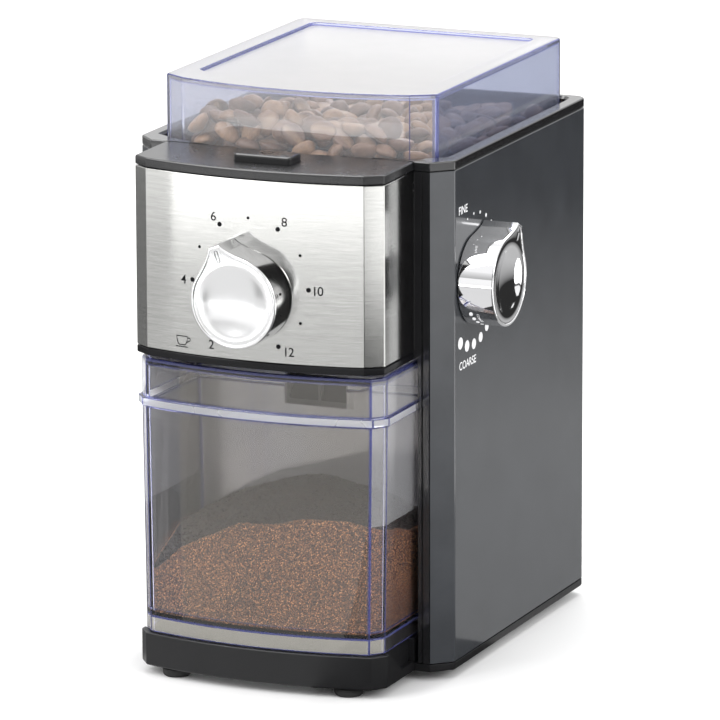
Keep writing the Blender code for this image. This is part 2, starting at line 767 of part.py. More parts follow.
def make_hopper():
    """Bean hopper: a flange under the rim and a funnel down to the burrs."""
    hopper = plate("hopper", housing_outline(WALL + 0.6), 193.0, RIM_SKIRT_LOW - GAP)
    join(hopper, plate("hopper_front", lip_outline(2.4), 193.0, RIM_SKIRT_LOW - GAP))
    levels = [(0.0, 16.0, 16.0, 76.0, 2.0), (0.25, 22.0, 25.0, 75.0, 2.6),
              (0.6, 38.0, 44.0, 73.0, 4.0), (1.0, 55.0, 65.5, 72.0, 9.0)]
    low, high = 160.0, 194.0
    outer = [superellipse(16.0, 16.0, 2.0, (0.0, BURR_Y), 148.2)]
    inner = [superellipse(14.0, 14.0, 2.0, (0.0, BURR_Y), 147.0)]
    for part, half_u, half_v, middle, power in levels:
        height = low + (high - low) * part
        outer.append(superellipse(half_u, half_v, power, (0.0, middle), height))
        inner.append(superellipse(half_u - 2.0, half_v - 2.0, power, (0.0, middle), height + 0.6))
    inner.append(superellipse(53.0, 63.5, 9.0, (0.0, 72.0), 198.0))
    join(hopper, loft("funnel_outside", outer))
    cut(hopper, loft("funnel_inside", inner))
    return hopper


def make_hopper_lid():
    """Clear lid: a deep cap with a recessed top panel."""
    lid = plate("hopper_lid", lid_outline(), LID_LOW, LID_TOP)
    recess = rounded_rectangle((-LID_RECESS_HALF, LID_RECESS_FRONT), (LID_RECESS_HALF, LID_RECESS_REAR), 3.0)
    cut(lid, plate("lid_recess", recess, LID_TOP - LID_RECESS_DEPTH, LID_TOP + 5.0))
    soften(lid, 0.8)
    room = plate("lid_room", lid_outline(2.2), LID_LOW - 5.0, LID_TOP - 2.2 - LID_RECESS_DEPTH)
    cut(lid, room)
    return lid


def taper(thing, low, high, amount):
    """Pull the lower end of a mesh in towards its centre plane."""
    for vertex in thing.data.vertices:
        height = (thing.matrix_world @ vertex.co).z / MM + ORIGIN.z
        part = min(max((high - height) / (high - low), 0.0), 1.0)
        vertex.co.x *= 1.0 - part * amount / CONTAINER_HALF


def make_container():
    """Clear ground coffee container with a hollow skirt and a window in its rear wall."""
    body = plate("ground_container", container_outline(CONTAINER_HALF), CONTAINER_LOW, CONTAINER_TOP)
    taper(body, CONTAINER_LOW, CONTAINER_TOP, CONTAINER_TAPER)
    inside = plate("container_room", container_outline(CONTAINER_HALF, CLEAR_WALL),
                   CONTAINER_FLOOR + 2.0, CONTAINER_TOP + 8.0)
    taper(inside, CONTAINER_LOW, CONTAINER_TOP, CONTAINER_TAPER)
    skirt = plate("skirt_room", container_outline(CONTAINER_HALF - CONTAINER_TAPER, CLEAR_WALL),
                  CONTAINER_LOW - 5.0, CONTAINER_FLOOR)
    window = box("rear_window", (-WINDOW_HALF, CONTAINER_REAR - 8.0, WINDOW_LOW),
                 (WINDOW_HALF, CONTAINER_REAR + 5.0, CONTAINER_TOP + 5.0))
    soften(body, 0.6)
    return cut(body, inside, skirt, window)


def make_container_lid():
    """Clear lid of the container: a ledge, a tall band and a flat top, with the chute window."""
    ledge_top = 108.8
    lid = plate("container_lid", container_outline(CONTAINER_HALF + 1.2), CONTAINER_LID_LOW, ledge_top)
    band = plate("lid_band", container_outline(CONTAINER_HALF), ledge_top - 1.0, CONTAINER_LID_TOP)
    join(lid, band)
    soften(lid, 0.4)
    room = plate("lid_inside", container_outline(CONTAINER_HALF, CLEAR_WALL),
                 CONTAINER_LID_LOW - 5.0, CONTAINER_LID_TOP - 2.4)
    window = box("lid_window", (-WINDOW_HALF, CONTAINER_REAR - 8.0, CONTAINER_LID_LOW - 5.0),
                 (WINDOW_HALF, CONTAINER_REAR + 8.0, 108.0))
    return cut(lid, room, window)


# ---------------------------------------------------------------- mill

def make_chute():
    """Sloping chute from the grinding chamber to the mouth in the bay's rear wall."""
    rear = 43.7
    outer = [(BAY_REAR - 0.8, 97.0), (BAY_REAR - 0.8, 110.0), (33.0, 110.0), (37.5, 122.0), (rear, 126.0),
             (rear, 113.4)]
    inner = [(BAY_REAR - 5.0, 98.8), (BAY_REAR - 5.0, 108.4), (34.1, 108.4), (38.6, 120.4),
             (rear + 5.0, 124.5), (rear + 5.0, 115.8), (rear, 115.8), (BAY_REAR - 1.0, 98.8)]
    chute = plate("coffee_chute", outer, -15.0, 15.0, PLANE_X)
    cut(chute, plate("chute_room", inner, -13.0, 13.0, PLANE_X))
    join(chute, box("mouth_divider", (-0.6, BAY_REAR - 0.8, 98.0), (0.6, 32.0, 109.0)))
    return chute


def make_chamber():
    """Grinding chamber: a floor that closes the gearbox, a round wall and the outlet boss."""
    centre = (0.0, BURR_Y)
    hull = circle_hull(centre, 33.0, (0.0, MOTOR_Y), 15.0)
    chamber = plate("grinding_chamber", hull, CHAMBER_FLOOR, CHAMBER_FLOOR + 3.0)
    wall = cylinder("chamber_wall", CHAMBER_R, CHAMBER_FLOOR + 1.0, CHAMBER_TOP, centre, segments=28)
    join(chamber, wall)
    join(chamber, cylinder("chamber_flange", 34.0, CHAMBER_TOP - 2.5, CHAMBER_TOP, centre, segments=28))
    join(chamber, box("outlet_boss", (-15.0, 44.0, 109.0), (15.0, 60.0, 127.0)))
    bore = cylinder("chamber_bore", CHAMBER_BORE, CHAMBER_FLOOR + 3.0, CHAMBER_TOP + 5.0, centre, segments=28)
    cut(chamber, bore)
    cut(chamber, box("outlet", (-13.0, 30.0, 115.6), (13.0, 66.0, 124.5)))
    cut(chamber, cylinder("bush_hole", 7.0, CHAMBER_FLOOR - 5.0, CHAMBER_FLOOR + 5.0, centre, segments=16))
    cut(chamber, cylinder("motor_shaft_room", 4.0, CHAMBER_FLOOR - 5.0, CHAMBER_FLOOR + 2.0,
                          (0.0, MOTOR_Y)))
    return chamber


def make_gearbox():
    """Gearbox tray on two cross bars that the base pillars carry."""
    centre = (0.0, BURR_Y)
    hull = circle_hull(centre, 33.0, (0.0, MOTOR_Y), 15.0)
    tray = plate("gearbox_tray", hull, GEARBOX_FLOOR, GEARBOX_TOP)
    reach = PILLAR_X + PILLAR_R
    for y in PILLAR_ROWS:
        bar = rounded_rectangle((-reach, y - PILLAR_R), (reach, y + PILLAR_R), PILLAR_R - 0.2, 2)
        join(tray, plate("cross_bar", bar, GEARBOX_FLOOR + 0.2, GEARBOX_FLOOR + BAR_HIGH))
    room = circle_hull(centre, 30.6, (0.0, MOTOR_Y), 12.6)
    cut(tray, plate("gear_room", room, GEARBOX_FLOOR + 3.0, GEARBOX_TOP + 5.0))
    under, over = GEARBOX_FLOOR - 5.0, GEARBOX_FLOOR + 5.0
    cut(tray, cylinder("lower_bush_hole", 8.0, under, over, centre, segments=16))
    cut(tray, cylinder("motor_hole", 3.5, under, over, (0.0, MOTOR_Y)))
    for index, (x, y) in enumerate(PILLARS):
        cut(tray, cylinder("bar_hole_%d" % index, 1.9, under, over, (x, y), segments=10))
    return tray


def make_bearings():
    """Flanged bushes for the burr shaft, and the seal that keeps coffee out of the gearbox."""
    centre = (0.0, BURR_Y)
    flanged = [(7.7, 89.0), (7.7, 85.7), (9.4, 85.7), (9.4, 84.2), (4.3, 84.2), (4.3, 89.0)]
    lower = turned("lower_bush", flanged, centre)
    upper = turned("upper_bush", [(6.7, 112.0), (6.7, 107.7), (8.6, 107.7), (8.6, 105.9), (4.3, 105.9),
                                  (4.3, 112.0)], centre)
    seal = ring("shaft_seal", 8.0, 4.3, 112.3, 114.0, centre)
    return lower, upper, seal


def grooves(name, low, high, count=12):
    """Radial cutters for a burr's teeth, joined into one star of slanted bars."""
    bars = []
    for index in range(count):
        bar = box("%s_%d" % (name, index), (9.0, -0.7, low), (BURR_R + 2.0, 0.7, high))
        lean = Matrix.Rotation(math.radians(360.0 * index / count), 4, "Z")
        slant = Matrix.Translation(Vector((0.0, 0.004, 0.0)))
        bar.matrix_world = Matrix.Translation(row(0.0, BURR_Y, 0.0)) @ lean @ slant @ centred(bar)
        bars.append(bar)
    return bars


def centred(thing):
    """An object's matrix as if the layout's zero were the frame's origin."""
    return Matrix.Translation(-row(0.0, 0.0, 0.0)) @ thing.matrix_world


def make_burrs():
    """Carrier with sweeping paddles, lower burr and nut, upper burr and the holder that lifts it."""
    centre = (0.0, BURR_Y)
    carrier_side = [(21.0, 125.6), (21.0, 121.6), (7.8, 121.6), (7.8, 114.3), (4.3, 114.3), (4.3, 125.6)]
    carrier = turned("burr_carrier", carrier_side, centre)
    for index in range(3):
        vane = box("vane_%d" % index, (6.5, -1.5, 114.6), (22.6, 1.5, 122.6))
        swing = Matrix.Rotation(math.radians(120.0 * index + 30.0), 4, "Z")
        vane.matrix_world = Matrix.Translation(row(0.0, BURR_Y, 0.0)) @ swing @ centred(vane)
        join(carrier, vane)
    lower = ring("lower_burr", BURR_R, 8.5, 125.9, 131.0, centre)
    cut(lower, *grooves("lower_groove", 129.6, 133.0))
    nut = cylinder("burr_nut", 6.6, 125.9, 130.6, centre, segments=6)
    cut(nut, cylinder("nut_bore", 4.3, 120.0, 135.0, centre, segments=16))
    upper = ring("upper_burr", BURR_R, 9.5, 131.7, 137.4, centre)
    cut(upper, *grooves("upper_groove", 130.3, 133.1))
    holder = turned("upper_burr_holder", [(23.6, 141.2), (23.6, 132.0), (20.4, 132.0), (20.4, 137.8),
                                          (14.0, 137.8), (14.0, 141.2)], centre)
    for sign in (-1, 1):
        low_x, high_x = sorted((sign * 16.4, sign * 21.2))
        cut(holder, box("drive_slot", (low_x, BURR_Y - 3.0, 136.0), (high_x, BURR_Y + 3.0, 143.0)))
    return carrier, lower, nut, upper, holder


def make_drive():
    """Burr shaft and its gear, the motor pinion, and the motor hung under the gearbox."""
    burr_axis, motor_axis = (0.0, BURR_Y), (0.0, MOTOR_Y)
    shaft = cylinder("burr_shaft", 4.0, 83.0, 130.9, burr_axis, segments=16)
    gear = plate("drive_gear", gear_outline(DRIVE_TEETH, GEAR_MODULE, burr_axis), 93.0, 101.0)
    join(gear, cylinder("gear_hub", 8.0, 90.0, 104.6, burr_axis, segments=16))
    cut(gear, cylinder("gear_bore", 4.3, 80.0, 110.0, burr_axis, segments=16))
    pinion = plate("motor_pinion", gear_outline(PINION_TEETH, GEAR_MODULE, motor_axis, 0.75), 92.0, 102.0)
    cut(pinion, cylinder("pinion_bore", 2.8, 80.0, 110.0, motor_axis))
    motor_shaft = cylinder("motor_shaft", 2.5, 14.6, 104.0, motor_axis)
    can = turned("motor_can", [(9.0, 85.7), (9.0, 82.0), (23.0, 82.0), (23.0, 26.0), (21.2, 26.0),
                               (21.2, 79.6), (3.0, 79.6), (3.0, 85.7)], motor_axis)
    rotor = ring("motor_rotor", 17.5, 2.8, 34.0, 72.0, motor_axis)
    cap_side = [(20.9, 28.0), (20.9, 25.7), (23.0, 25.7), (23.0, 22.0), (9.0, 22.0), (9.0, 18.0), (3.0, 18.0)]
    cap_inside = [(3.0, 24.0), (18.6, 24.0), (18.6, 28.0)]
    cap = turned("motor_end_cap", cap_side + cap_inside, motor_axis)
    mount = ring("motor_mount", 13.0, 9.3, SEAM_LOW, 21.7, motor_axis)
    return shaft, gear, pinion, motor_shaft, can, rotor, cap, mount


# ---------------------------------------------------------------- fineness adjustment

def make_fineness():
    """Side knob, its pinion shaft and bush, the rack, its guide, and the toothed ring."""
    axis = (FINENESS_Y, FINENESS_Z)
    base_x = HOUSING_HALF + GAP
    knob = plate("fineness_knob", knob_outline(FINENESS_ANGLE, axis), base_x, FINENESS_FACE, PLANE_X)
    shape_knob(knob, axis, FINENESS_FACE, base_x, TURN_X, -1.0)
    shaft = plate("fineness_shaft", gear_outline(FINE_PINION_TEETH, FINE_MODULE, axis, 0.0), 40.4, 45.2,
                  PLANE_X)
    join(shaft, cylinder("shaft_rod", 3.0, 38.8, FINENESS_FACE - 6.4, axis, TURN_X, 20))
    bush_side = [(6.0, 66.6), (6.0, 64.2), (9.0, 64.2), (9.0, 61.6), (3.3, 61.6), (3.3, 66.6)]
    bush = turned("fineness_bush", bush_side, axis, TURN_X)
    rack = make_rack()
    front, rear = 9.0, 112.0
    guide = box("rack_guide", (37.0, front, 136.0), (64.2, rear, 138.0))
    join(guide, box("guide_wall", (45.9, front, 137.0), (47.9, rear, 148.0)))
    join(guide, box("guide_ledge", (41.0, front, 137.0), (46.4, rear, 143.0)))
    join(guide, box("guide_bearing", (45.9, 18.0, 140.0), (47.9, 36.0, 163.0)))
    cut(guide, cylinder("guide_bore", 3.3, 40.0, 60.0, axis, TURN_X, 20))
    return knob, shaft, bush, rack, guide, make_adjusting_ring()


def make_rack():
    """Rack with side teeth for the ring and top teeth for the knob's pinion."""
    low, high = 19.0, 102.0
    side = [(RACK_OUT, low), (RACK_OUT, high), (RACK_IN, high)]
    side += [(RACK_IN - height, y) for y, height in reversed(rack_teeth(FINE_MODULE, BURR_Y, 3, 6))]
    side.append((RACK_IN, low))
    rack = plate("adjusting_rack", side, RING_LOW, RING_HIGH)
    root = FINENESS_Z - FINE_MODULE * FINE_PINION_TEETH / 2 - 1.1 * FINE_MODULE
    top = [(low, RING_HIGH - 1.0), (low, root)]
    top += [(y, root + height) for y, height in rack_teeth(FINE_MODULE, FINENESS_Y, 2, 5)]
    top += [(50.0, root), (50.0, RING_HIGH - 1.0)]
    return join(rack, plate("rack_top", top, RACK_IN, RACK_OUT, PLANE_X))


def make_adjusting_ring():
    """Ring that turns the upper burr's holder, toothed only where the rack can reach it."""
    centre = (0.0, BURR_Y)
    present = {tooth % RING_TEETH for tooth in range(-7, 8)}
    outline = gear_outline(RING_TEETH, FINE_MODULE, centre, 0.0, present)
    adjusting_ring = plate("adjusting_ring", outline, RING_LOW, RING_HIGH)
    for sign in (-1, 1):
        low_x, high_x = sorted((sign * 16.9, sign * 20.7))
        join(adjusting_ring, box("drive_lug", (low_x, BURR_Y - 2.4, 138.9), (high_x, BURR_Y + 2.4, 144.0)))
    return cut(adjusting_ring, cylinder("throat", 15.5, 130.0, 150.0, centre, segments=32))


# ---------------------------------------------------------------- electrics

def make_electrics():
    """Power board with its relay, and the two safety switches of the lid and the container."""
    board = box("power_board", (-62.0, 50.0, 24.0), (-60.4, 106.0, 84.0))
    join(board, box("relay", (-61.0, 60.0, 34.0), (-46.0, 76.0, 52.0)))
    join(board, box("terminals", (-61.0, 84.0, 30.0), (-50.0, 102.0, 40.0)))
    lid_switch = box("lid_switch", (-64.2, 60.0, 178.0), (-58.0, 80.0, 189.0))
    join(lid_switch, box("lid_lever", (-60.5, 62.0, 188.0), (-59.0, 76.0, 191.6)))
    container_switch = box("container_switch", (24.0, BAY_REAR + WALL + GAP, 60.0), (44.0, 39.0, 71.0))
    return board, lid_switch, container_switch


# ---------------------------------------------------------------- assembly

BLACK = (0.012, 0.012, 0.014)
SLATE = (0.062, 0.066, 0.072)
STEEL = (0.62, 0.62, 0.60)
CHROME = (0.78, 0.78, 0.80)
RUBBER = (0.015, 0.015, 0.015)
CLEAR = (0.72, 0.74, 0.92)
BRASS = (0.62, 0.46, 0.20)
NYLON = (0.74, 0.72, 0.66)
BOARD = (0.03, 0.16, 0.07)


def build():
    """Make every piece, paint it and hang the moving ones on their axes."""
    paint([make_base(), make_top_rim(), make_head_body(), make_head_cover(), make_cord_gland()], BLACK, 0.45)
    paint([make_front_frame()], BLACK, 0.2)
    paint([make_shell()], SLATE, 0.28)
    paint(make_feet(), RUBBER, 0.8)
    paint(make_screws(), STEEL, 0.35, 1.0)
    paint([make_steel_panel()], STEEL, 0.3, 1.0)

    button, spring, switch, board = make_button()
    paint([button], BLACK, 0.15)
    paint([spring], STEEL, 0.3, 1.0)
    paint([switch], BLACK, 0.4)
    paint([board], BOARD, 0.5)
    portion_knob, portion_shaft, timer = make_portion_control()
    paint([portion_knob], CHROME, 0.06, 1.0)
    paint([portion_shaft], STEEL, 0.35, 1.0)
    paint([timer], NYLON, 0.5)

    hopper_lid, container, container_lid = make_hopper_lid(), make_container(), make_container_lid()
    paint([hopper_lid, container, container_lid], CLEAR, 0.05, alpha=0.35)
    paint([make_hopper(), make_chute(), make_chamber(), make_gearbox()], BLACK, 0.5)
    lower_bush, upper_bush, seal = make_bearings()
    paint([lower_bush, upper_bush], BRASS, 0.35, 1.0)
    paint([seal], RUBBER, 0.7)
    carrier, lower_burr, nut, upper_burr, holder = make_burrs()
    paint([carrier, holder], NYLON, 0.5)
    paint([lower_burr, nut, upper_burr], STEEL, 0.3, 1.0)
    shaft, gear, pinion, motor_shaft, can, rotor, end_cap, mount = make_drive()
    paint([shaft, motor_shaft, can, rotor], STEEL, 0.35, 1.0)
    paint([gear, end_cap], NYLON, 0.5)
    paint([pinion], BRASS, 0.35, 1.0)
    paint([mount], RUBBER, 0.8)

    knob, pinion_shaft, bush, rack, guide, adjusting_ring = make_fineness()
    paint([knob], CHROME, 0.06, 1.0)
    paint([pinion_shaft, rack, adjusting_ring], NYLON, 0.5)
    paint([bush], BRASS, 0.4, 1.0)
    paint([guide], BLACK, 0.5)
    power_board, lid_switch, container_switch = make_electrics()
    paint([power_board], BOARD, 0.5)
    paint([lid_switch, container_switch], BLACK, 0.4)

    hang_on("hopper_lid_path", (0.0, BURR_Y, LID_LOW), [hopper_lid])
    hang_on("container_path", (0.0, 0.0, CONTAINER_LOW), [container, container_lid])
    hang_on("start_button_path", (0.0, BUTTON_Y, RIM_TOP), [button])
    hang_on("portion_axis", (0.0, PORTION_FACE, PORTION_Z), [portion_knob, portion_shaft])
    hang_on("fineness_axis", (FINENESS_FACE, FINENESS_Y, FINENESS_Z), [knob, pinion_shaft])
    hang_on("rack_path", (RACK_OUT, BURR_Y, RING_LOW), [rack])
    hang_on("ring_axis", (0.0, BURR_Y, RING_LOW), [adjusting_ring, upper_burr, holder])
    hang_on("burr_axis", (0.0, BURR_Y, GEARBOX_FLOOR), [shaft, gear, carrier, lower_burr, nut])
    hang_on("motor_axis", (0.0, MOTOR_Y, GEARBOX_FLOOR), [motor_shaft, pinion, rotor])


build()
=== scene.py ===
"""The looks of the burr coffee grinder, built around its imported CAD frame.

Sizes below are layout millimetres: X = 0 is the centre plane with +X towards the fineness knob, Y = 0 is
the housing's front face with +Y to the rear, and Z = 0 is the underside of the base. row() turns a layout
point into the frame's metres, and span() reads a CAD node's box in layout millimetres.
"""
import json
import math
import random
from functools import partial

import bmesh
import bpy
from mathutils import Matrix, Vector, noise


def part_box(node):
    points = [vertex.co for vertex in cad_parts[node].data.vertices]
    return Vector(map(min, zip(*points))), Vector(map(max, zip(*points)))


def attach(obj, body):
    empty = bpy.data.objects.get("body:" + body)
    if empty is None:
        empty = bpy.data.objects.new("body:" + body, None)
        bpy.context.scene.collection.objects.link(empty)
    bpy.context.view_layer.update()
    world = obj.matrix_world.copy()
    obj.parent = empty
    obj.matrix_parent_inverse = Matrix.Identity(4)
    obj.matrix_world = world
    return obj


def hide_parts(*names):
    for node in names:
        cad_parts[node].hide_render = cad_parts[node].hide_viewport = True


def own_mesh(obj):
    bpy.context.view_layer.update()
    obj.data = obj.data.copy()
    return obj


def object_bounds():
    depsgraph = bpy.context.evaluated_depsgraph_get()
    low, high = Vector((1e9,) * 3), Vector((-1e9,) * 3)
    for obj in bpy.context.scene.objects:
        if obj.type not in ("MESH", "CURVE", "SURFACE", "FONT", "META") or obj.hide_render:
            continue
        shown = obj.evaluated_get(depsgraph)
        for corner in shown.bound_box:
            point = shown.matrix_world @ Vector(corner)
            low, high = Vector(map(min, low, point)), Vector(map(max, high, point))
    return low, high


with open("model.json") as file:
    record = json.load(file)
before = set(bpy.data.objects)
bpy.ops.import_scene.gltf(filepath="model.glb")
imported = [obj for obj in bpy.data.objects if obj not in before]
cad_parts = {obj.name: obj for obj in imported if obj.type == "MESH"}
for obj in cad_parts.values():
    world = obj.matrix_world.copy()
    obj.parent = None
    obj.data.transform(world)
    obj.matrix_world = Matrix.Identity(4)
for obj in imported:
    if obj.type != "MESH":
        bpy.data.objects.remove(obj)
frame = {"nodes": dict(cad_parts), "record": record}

CAD_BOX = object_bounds()
MM = 0.001
BOX_LEFT, BOX_RIGHT = (corner.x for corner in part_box("ground_container"))
ZERO = Vector(((BOX_LEFT + BOX_RIGHT) / 2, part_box("front_frame")[0].y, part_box("base")[0].z))


def row(x, y, z):
    """A layout point as metres in the frame."""
    return ZERO + Vector((x, y, z)) * MM


def span(node):
    """Lowest and highest corner of a CAD node in layout millimetres."""
    return tuple((corner - ZERO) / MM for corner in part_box(node))


def centre_of(node):
    """The middle of a CAD node in layout millimetres."""
    low, high = span(node)
    return (low + high) / 2


# ---------------------------------------------------------------- driving sizes

GAP = 0.3
SHELL_LOW, SHELL_HIGH = span("housing_shell")
HOUSING_HALF, HOUSING_REAR = SHELL_HIGH.x, SHELL_HIGH.y
SEAM_LOW, SEAM_HIGH = SHELL_LOW.z, SHELL_HIGH.z
CHAMFER, REAR_CORNER, WALL = 7.5, 5.0, 2.5
RIM_LOW, RIM_TOP = span("top_rim")[0].z, span("top_rim")[1].z
BASE_TOP_PLATE = SEAM_LOW - GAP

FRONT_HALF = span("head_body")[1].x
FRONT_Y = span("head_body")[0].y
FRONT_RADIUS, PLATFORM_FACET, HEAD_FACET = 185.7, (4.4, 5.7), (6.7, 4.5)
PLATFORM_TOP = 13.4
HEAD_LOW, STEEL_LOW = span("head_body")[0].z, span("steel_panel")[0].z
STEEL_HIGH = span("head_cover")[0].z
STEEL_SHEET = 1.0

BAY_HALF, BAY_REAR, BAY_TOP = 54.4, 30.0, 126.0
FRAME_HALF = span("front_frame")[1].x

CONTAINER_LOW, CONTAINER_TOP = span("ground_container")[0].z, span("ground_container")[1].z
CONTAINER_HALF, CONTAINER_REAR = span("ground_container")[1].x, span("ground_container")[1].y
CONTAINER_TAPER, CONTAINER_FLOOR, CLEAR_WALL = 1.2, 19.6, 2.0
GROUNDS_SIDE = 65.5
LEDGE_HALF = span("container_lid")[1].x
LEDGE_LOW, LEDGE_TOP, CLID_TOP = span("container_lid")[0].z, 108.8, span("container_lid")[1].z

LID_LOW, LID_HIGH = span("hopper_lid")
LID_HALF, LID_RADIUS, LID_FACET, LID_GAP = LID_HIGH.x, 155.7, (9.5, 5.8), 2.9
LID_WALL, RECESS_DEPTH = 1.8, 1.2
RECESS_HALF, RECESS_FRONT, RECESS_REAR = 49.0, 21.0, 135.0

KNOB_R, KNOB_TIP_R, KNOB_TIP_HALF = 18.0, 23.2, 2.2
KNOB_SPREAD, KNOB_TIP = 38.0, math.atan2(KNOB_TIP_HALF, KNOB_TIP_R)
KNOB_DISH_R, KNOB_DISH_DEPTH, KNOB_EDGE = 13.8, 3.0, 0.7
PORTION_Z, PORTION_FACE, PORTION_ANGLE = 155.3, span("portion_knob")[0].y, -20.5
FINENESS_Y, FINENESS_Z, FINENESS_ANGLE = 27.0, 154.5, 29.0
FINENESS_FACE = span("fineness_knob")[1].x

BUTTON_LOW, BUTTON_HIGH = span("start_button")
INK_LIFT, INK_FILM = 0.01, 0.03
NUMERALS = {"2": (-147.0, 30.0), "4": (-91.0, 28.6), "6": (-30.0, 30.0),
            "8": (30.0, 30.0), "10": (91.0, 28.2), "12": (147.0, 30.2)}
FEET = ("front_left", "front_right", "rear_left", "rear_right")


# ---------------------------------------------------------------- material nodes

class Shader:
    """A node material under construction: a Principled shader and short ways to add nodes."""

    def __init__(self, name, colour, roughness, metallic=0.0, **sockets):
        self.material = bpy.data.materials.new(name)
        self.material.use_nodes = True
        self.tree = self.material.node_tree
        self.shader = self.tree.nodes["Principled BSDF"]
        self.set("Base Color", (*colour, 1.0))
        self.set("Roughness", roughness)
        self.set("Metallic", metallic)
        for socket, value in sockets.items():
            self.set(socket.replace("_", " "), value)
        self.coordinates = self.node("ShaderNodeTexCoord").outputs["Object"]

    def set(self, socket, value):
        self.shader.inputs[socket].default_value = value

    def node(self, kind, **values):
        """Add a node; keywords set its properties."""
        made = self.tree.nodes.new(kind)
        for key, value in values.items():
            setattr(made, key, value)
        return made

    def feed(self, source, node, socket):
        """Link an output, or set a plain value, on a node's input."""
        if isinstance(source, bpy.types.NodeSocket):
            self.tree.links.new(source, node.inputs[socket])
        else:
            node.inputs[socket].default_value = source

    def noise(self, scale, detail=3.0, stretch=(1.0, 1.0, 1.0), roughness=0.55):
        """Noise value; scale is in cycles per metre, divided by the stretch along each axis."""
        mapping = self.node("ShaderNodeMapping")
        mapping.inputs["Scale"].default_value = [1.0 / part for part in stretch]
        self.feed(self.coordinates, mapping, "Vector")
        texture = self.node("ShaderNodeTexNoise")
        self.feed(mapping.outputs[0], texture, "Vector")
        self.feed(scale, texture, "Scale")
        self.feed(detail, texture, "Detail")
        self.feed(roughness, texture, "Roughness")
        return texture.outputs["Fac"]

    def cells(self, scale, output="Distance", feature="F1"):
        """Voronoi cells; scale is in cells per metre."""
        texture = self.node("ShaderNodeTexVoronoi", feature=feature)
        self.feed(self.coordinates, texture, "Vector")
        self.feed(scale, texture, "Scale")
        return texture.outputs[output]

    def ramp(self, value, stops):
        """Map a value to colours or greys at stops of (place, colour)."""
        ramp = self.node("ShaderNodeValToRGB")
        elements = ramp.color_ramp.elements
        while len(elements) < len(stops):
            elements.new(0.5)
        for element, (place, colour) in zip(elements, stops):
            element.position = place
            element.color = (*colour, 1.0) if hasattr(colour, "__len__") else (colour, colour, colour, 1.0)
        self.feed(value, ramp, "Fac")
        return ramp.outputs["Color"]

    def between(self, value, low, high):
        """Scale a 0 to 1 value to a range."""
        scaled = self.node("ShaderNodeMapRange")
        self.feed(value, scaled, "Value")
        self.feed(low, scaled, "To Min")
        self.feed(high, scaled, "To Max")
        return scaled.outputs["Result"]

    def mix(self, share, first, second, blend="MIX"):
        """Mix two colours by a share."""
        mixer = self.node("ShaderNodeMix", data_type="RGBA", blend_type=blend)
        self.feed(share, mixer, 0)
        for socket, colour in ((6, first), (7, second)):
            self.feed(colour if isinstance(colour, bpy.types.NodeSocket) else (*colour, 1.0), mixer, socket)
        return mixer.outputs[2]

    def bump(self, height, distance, strength=1.0):
        """Bump the surface by a height of a given depth in metres, over any bump already there."""
        bump = self.node("ShaderNodeBump")
        self.feed(height, bump, "Height")
        self.feed(distance, bump, "Distance")
        self.feed(strength, bump, "Strength")
        normal = self.shader.inputs["Normal"]
        if normal.is_linked:
            self.feed(normal.links[0].from_socket, bump, "Normal")
        self.feed(bump.outputs["Normal"], self.shader, "Normal")

    def drive(self, socket, source):
        self.feed(source, self.shader, socket)


def shades(colour, spread):
    """A colour a share darker and a share lighter, as the ends of a ramp."""
    return [[min(part * share, 1.0) for part in colour] for share in (1.0 - spread, 1.0 + spread)]


def moulded(name, colour, roughness, grain=0.012, grain_scale=1400.0, spread=0.12, **sockets):
    """Moulded plastic: faint mottling, uneven gloss and a fine grain."""
    made = Shader(name, colour, roughness, **sockets)
    cloud = made.noise(60.0, 4.0)
    dark, light = shades(colour, spread)
    made.drive("Base Color", made.ramp(cloud, [(0.3, dark), (0.7, light)]))
    made.drive("Roughness", made.between(made.noise(220.0, 3.0), roughness * 0.82, roughness * 1.18))
    made.bump(made.noise(grain_scale, 2.0), grain * MM)
    return made.material


def brushed(name, colour, roughness, stretch, scale=5200.0, depth=0.004, spread=0.16, sweep=0.0):
    """Brushed metal, with scratches drawn out along the axes whose stretch is large."""
    made = Shader(name, colour, roughness, metallic=1.0, Anisotropic=sweep, Anisotropic_Rotation=0.25)
    lines = made.noise(scale, 4.0, stretch, 0.7)
    broad = made.noise(scale / 6.0, 2.0, stretch, 0.5)
    both = made.mix(0.2, lines, broad)
    dark, light = shades(colour, spread)
    made.drive("Base Color", made.ramp(both, [(0.32, dark), (0.68, light)]))
    made.drive("Roughness", made.between(lines, roughness * 0.8, roughness * 1.25))
    made.bump(lines, depth * MM)
    return made.material


def polished(name, colour, roughness):
    """Chrome plate: a mirror with the faintest waviness and wiped haze."""
    made = Shader(name, colour, roughness, metallic=1.0)
    made.drive("Roughness", made.between(made.noise(90.0, 5.0), roughness * 0.6, roughness * 1.6))
    made.bump(made.noise(45.0, 2.0), 0.012 * MM, 0.35)
    return made.material


def clear_plastic(name, colour, roughness, transmission, lamp_colour):
    """Clear plastic that lets lamps through; a lower transmission looks frosted."""
    made = Shader(name, colour, roughness, Transmission_Weight=transmission, IOR=1.49)
    made.drive("Roughness", made.between(made.noise(30.0, 3.0), roughness * 0.5, roughness * 1.5))
    made.bump(made.noise(24.0, 2.0), 0.02 * MM, 0.25)
    through = made.node("ShaderNodeBsdfTransparent")
    made.feed((*lamp_colour, 1.0), through, "Color")
    either = made.node("ShaderNodeMixShader")
    made.feed(made.node("ShaderNodeLightPath").outputs["Is Shadow Ray"], either, 0)
    made.feed(made.shader.outputs[0], either, 1)
    made.feed(through.outputs[0], either, 2)
    made.feed(either.outputs[0], made.tree.nodes["Material Output"], "Surface")
    return made.material


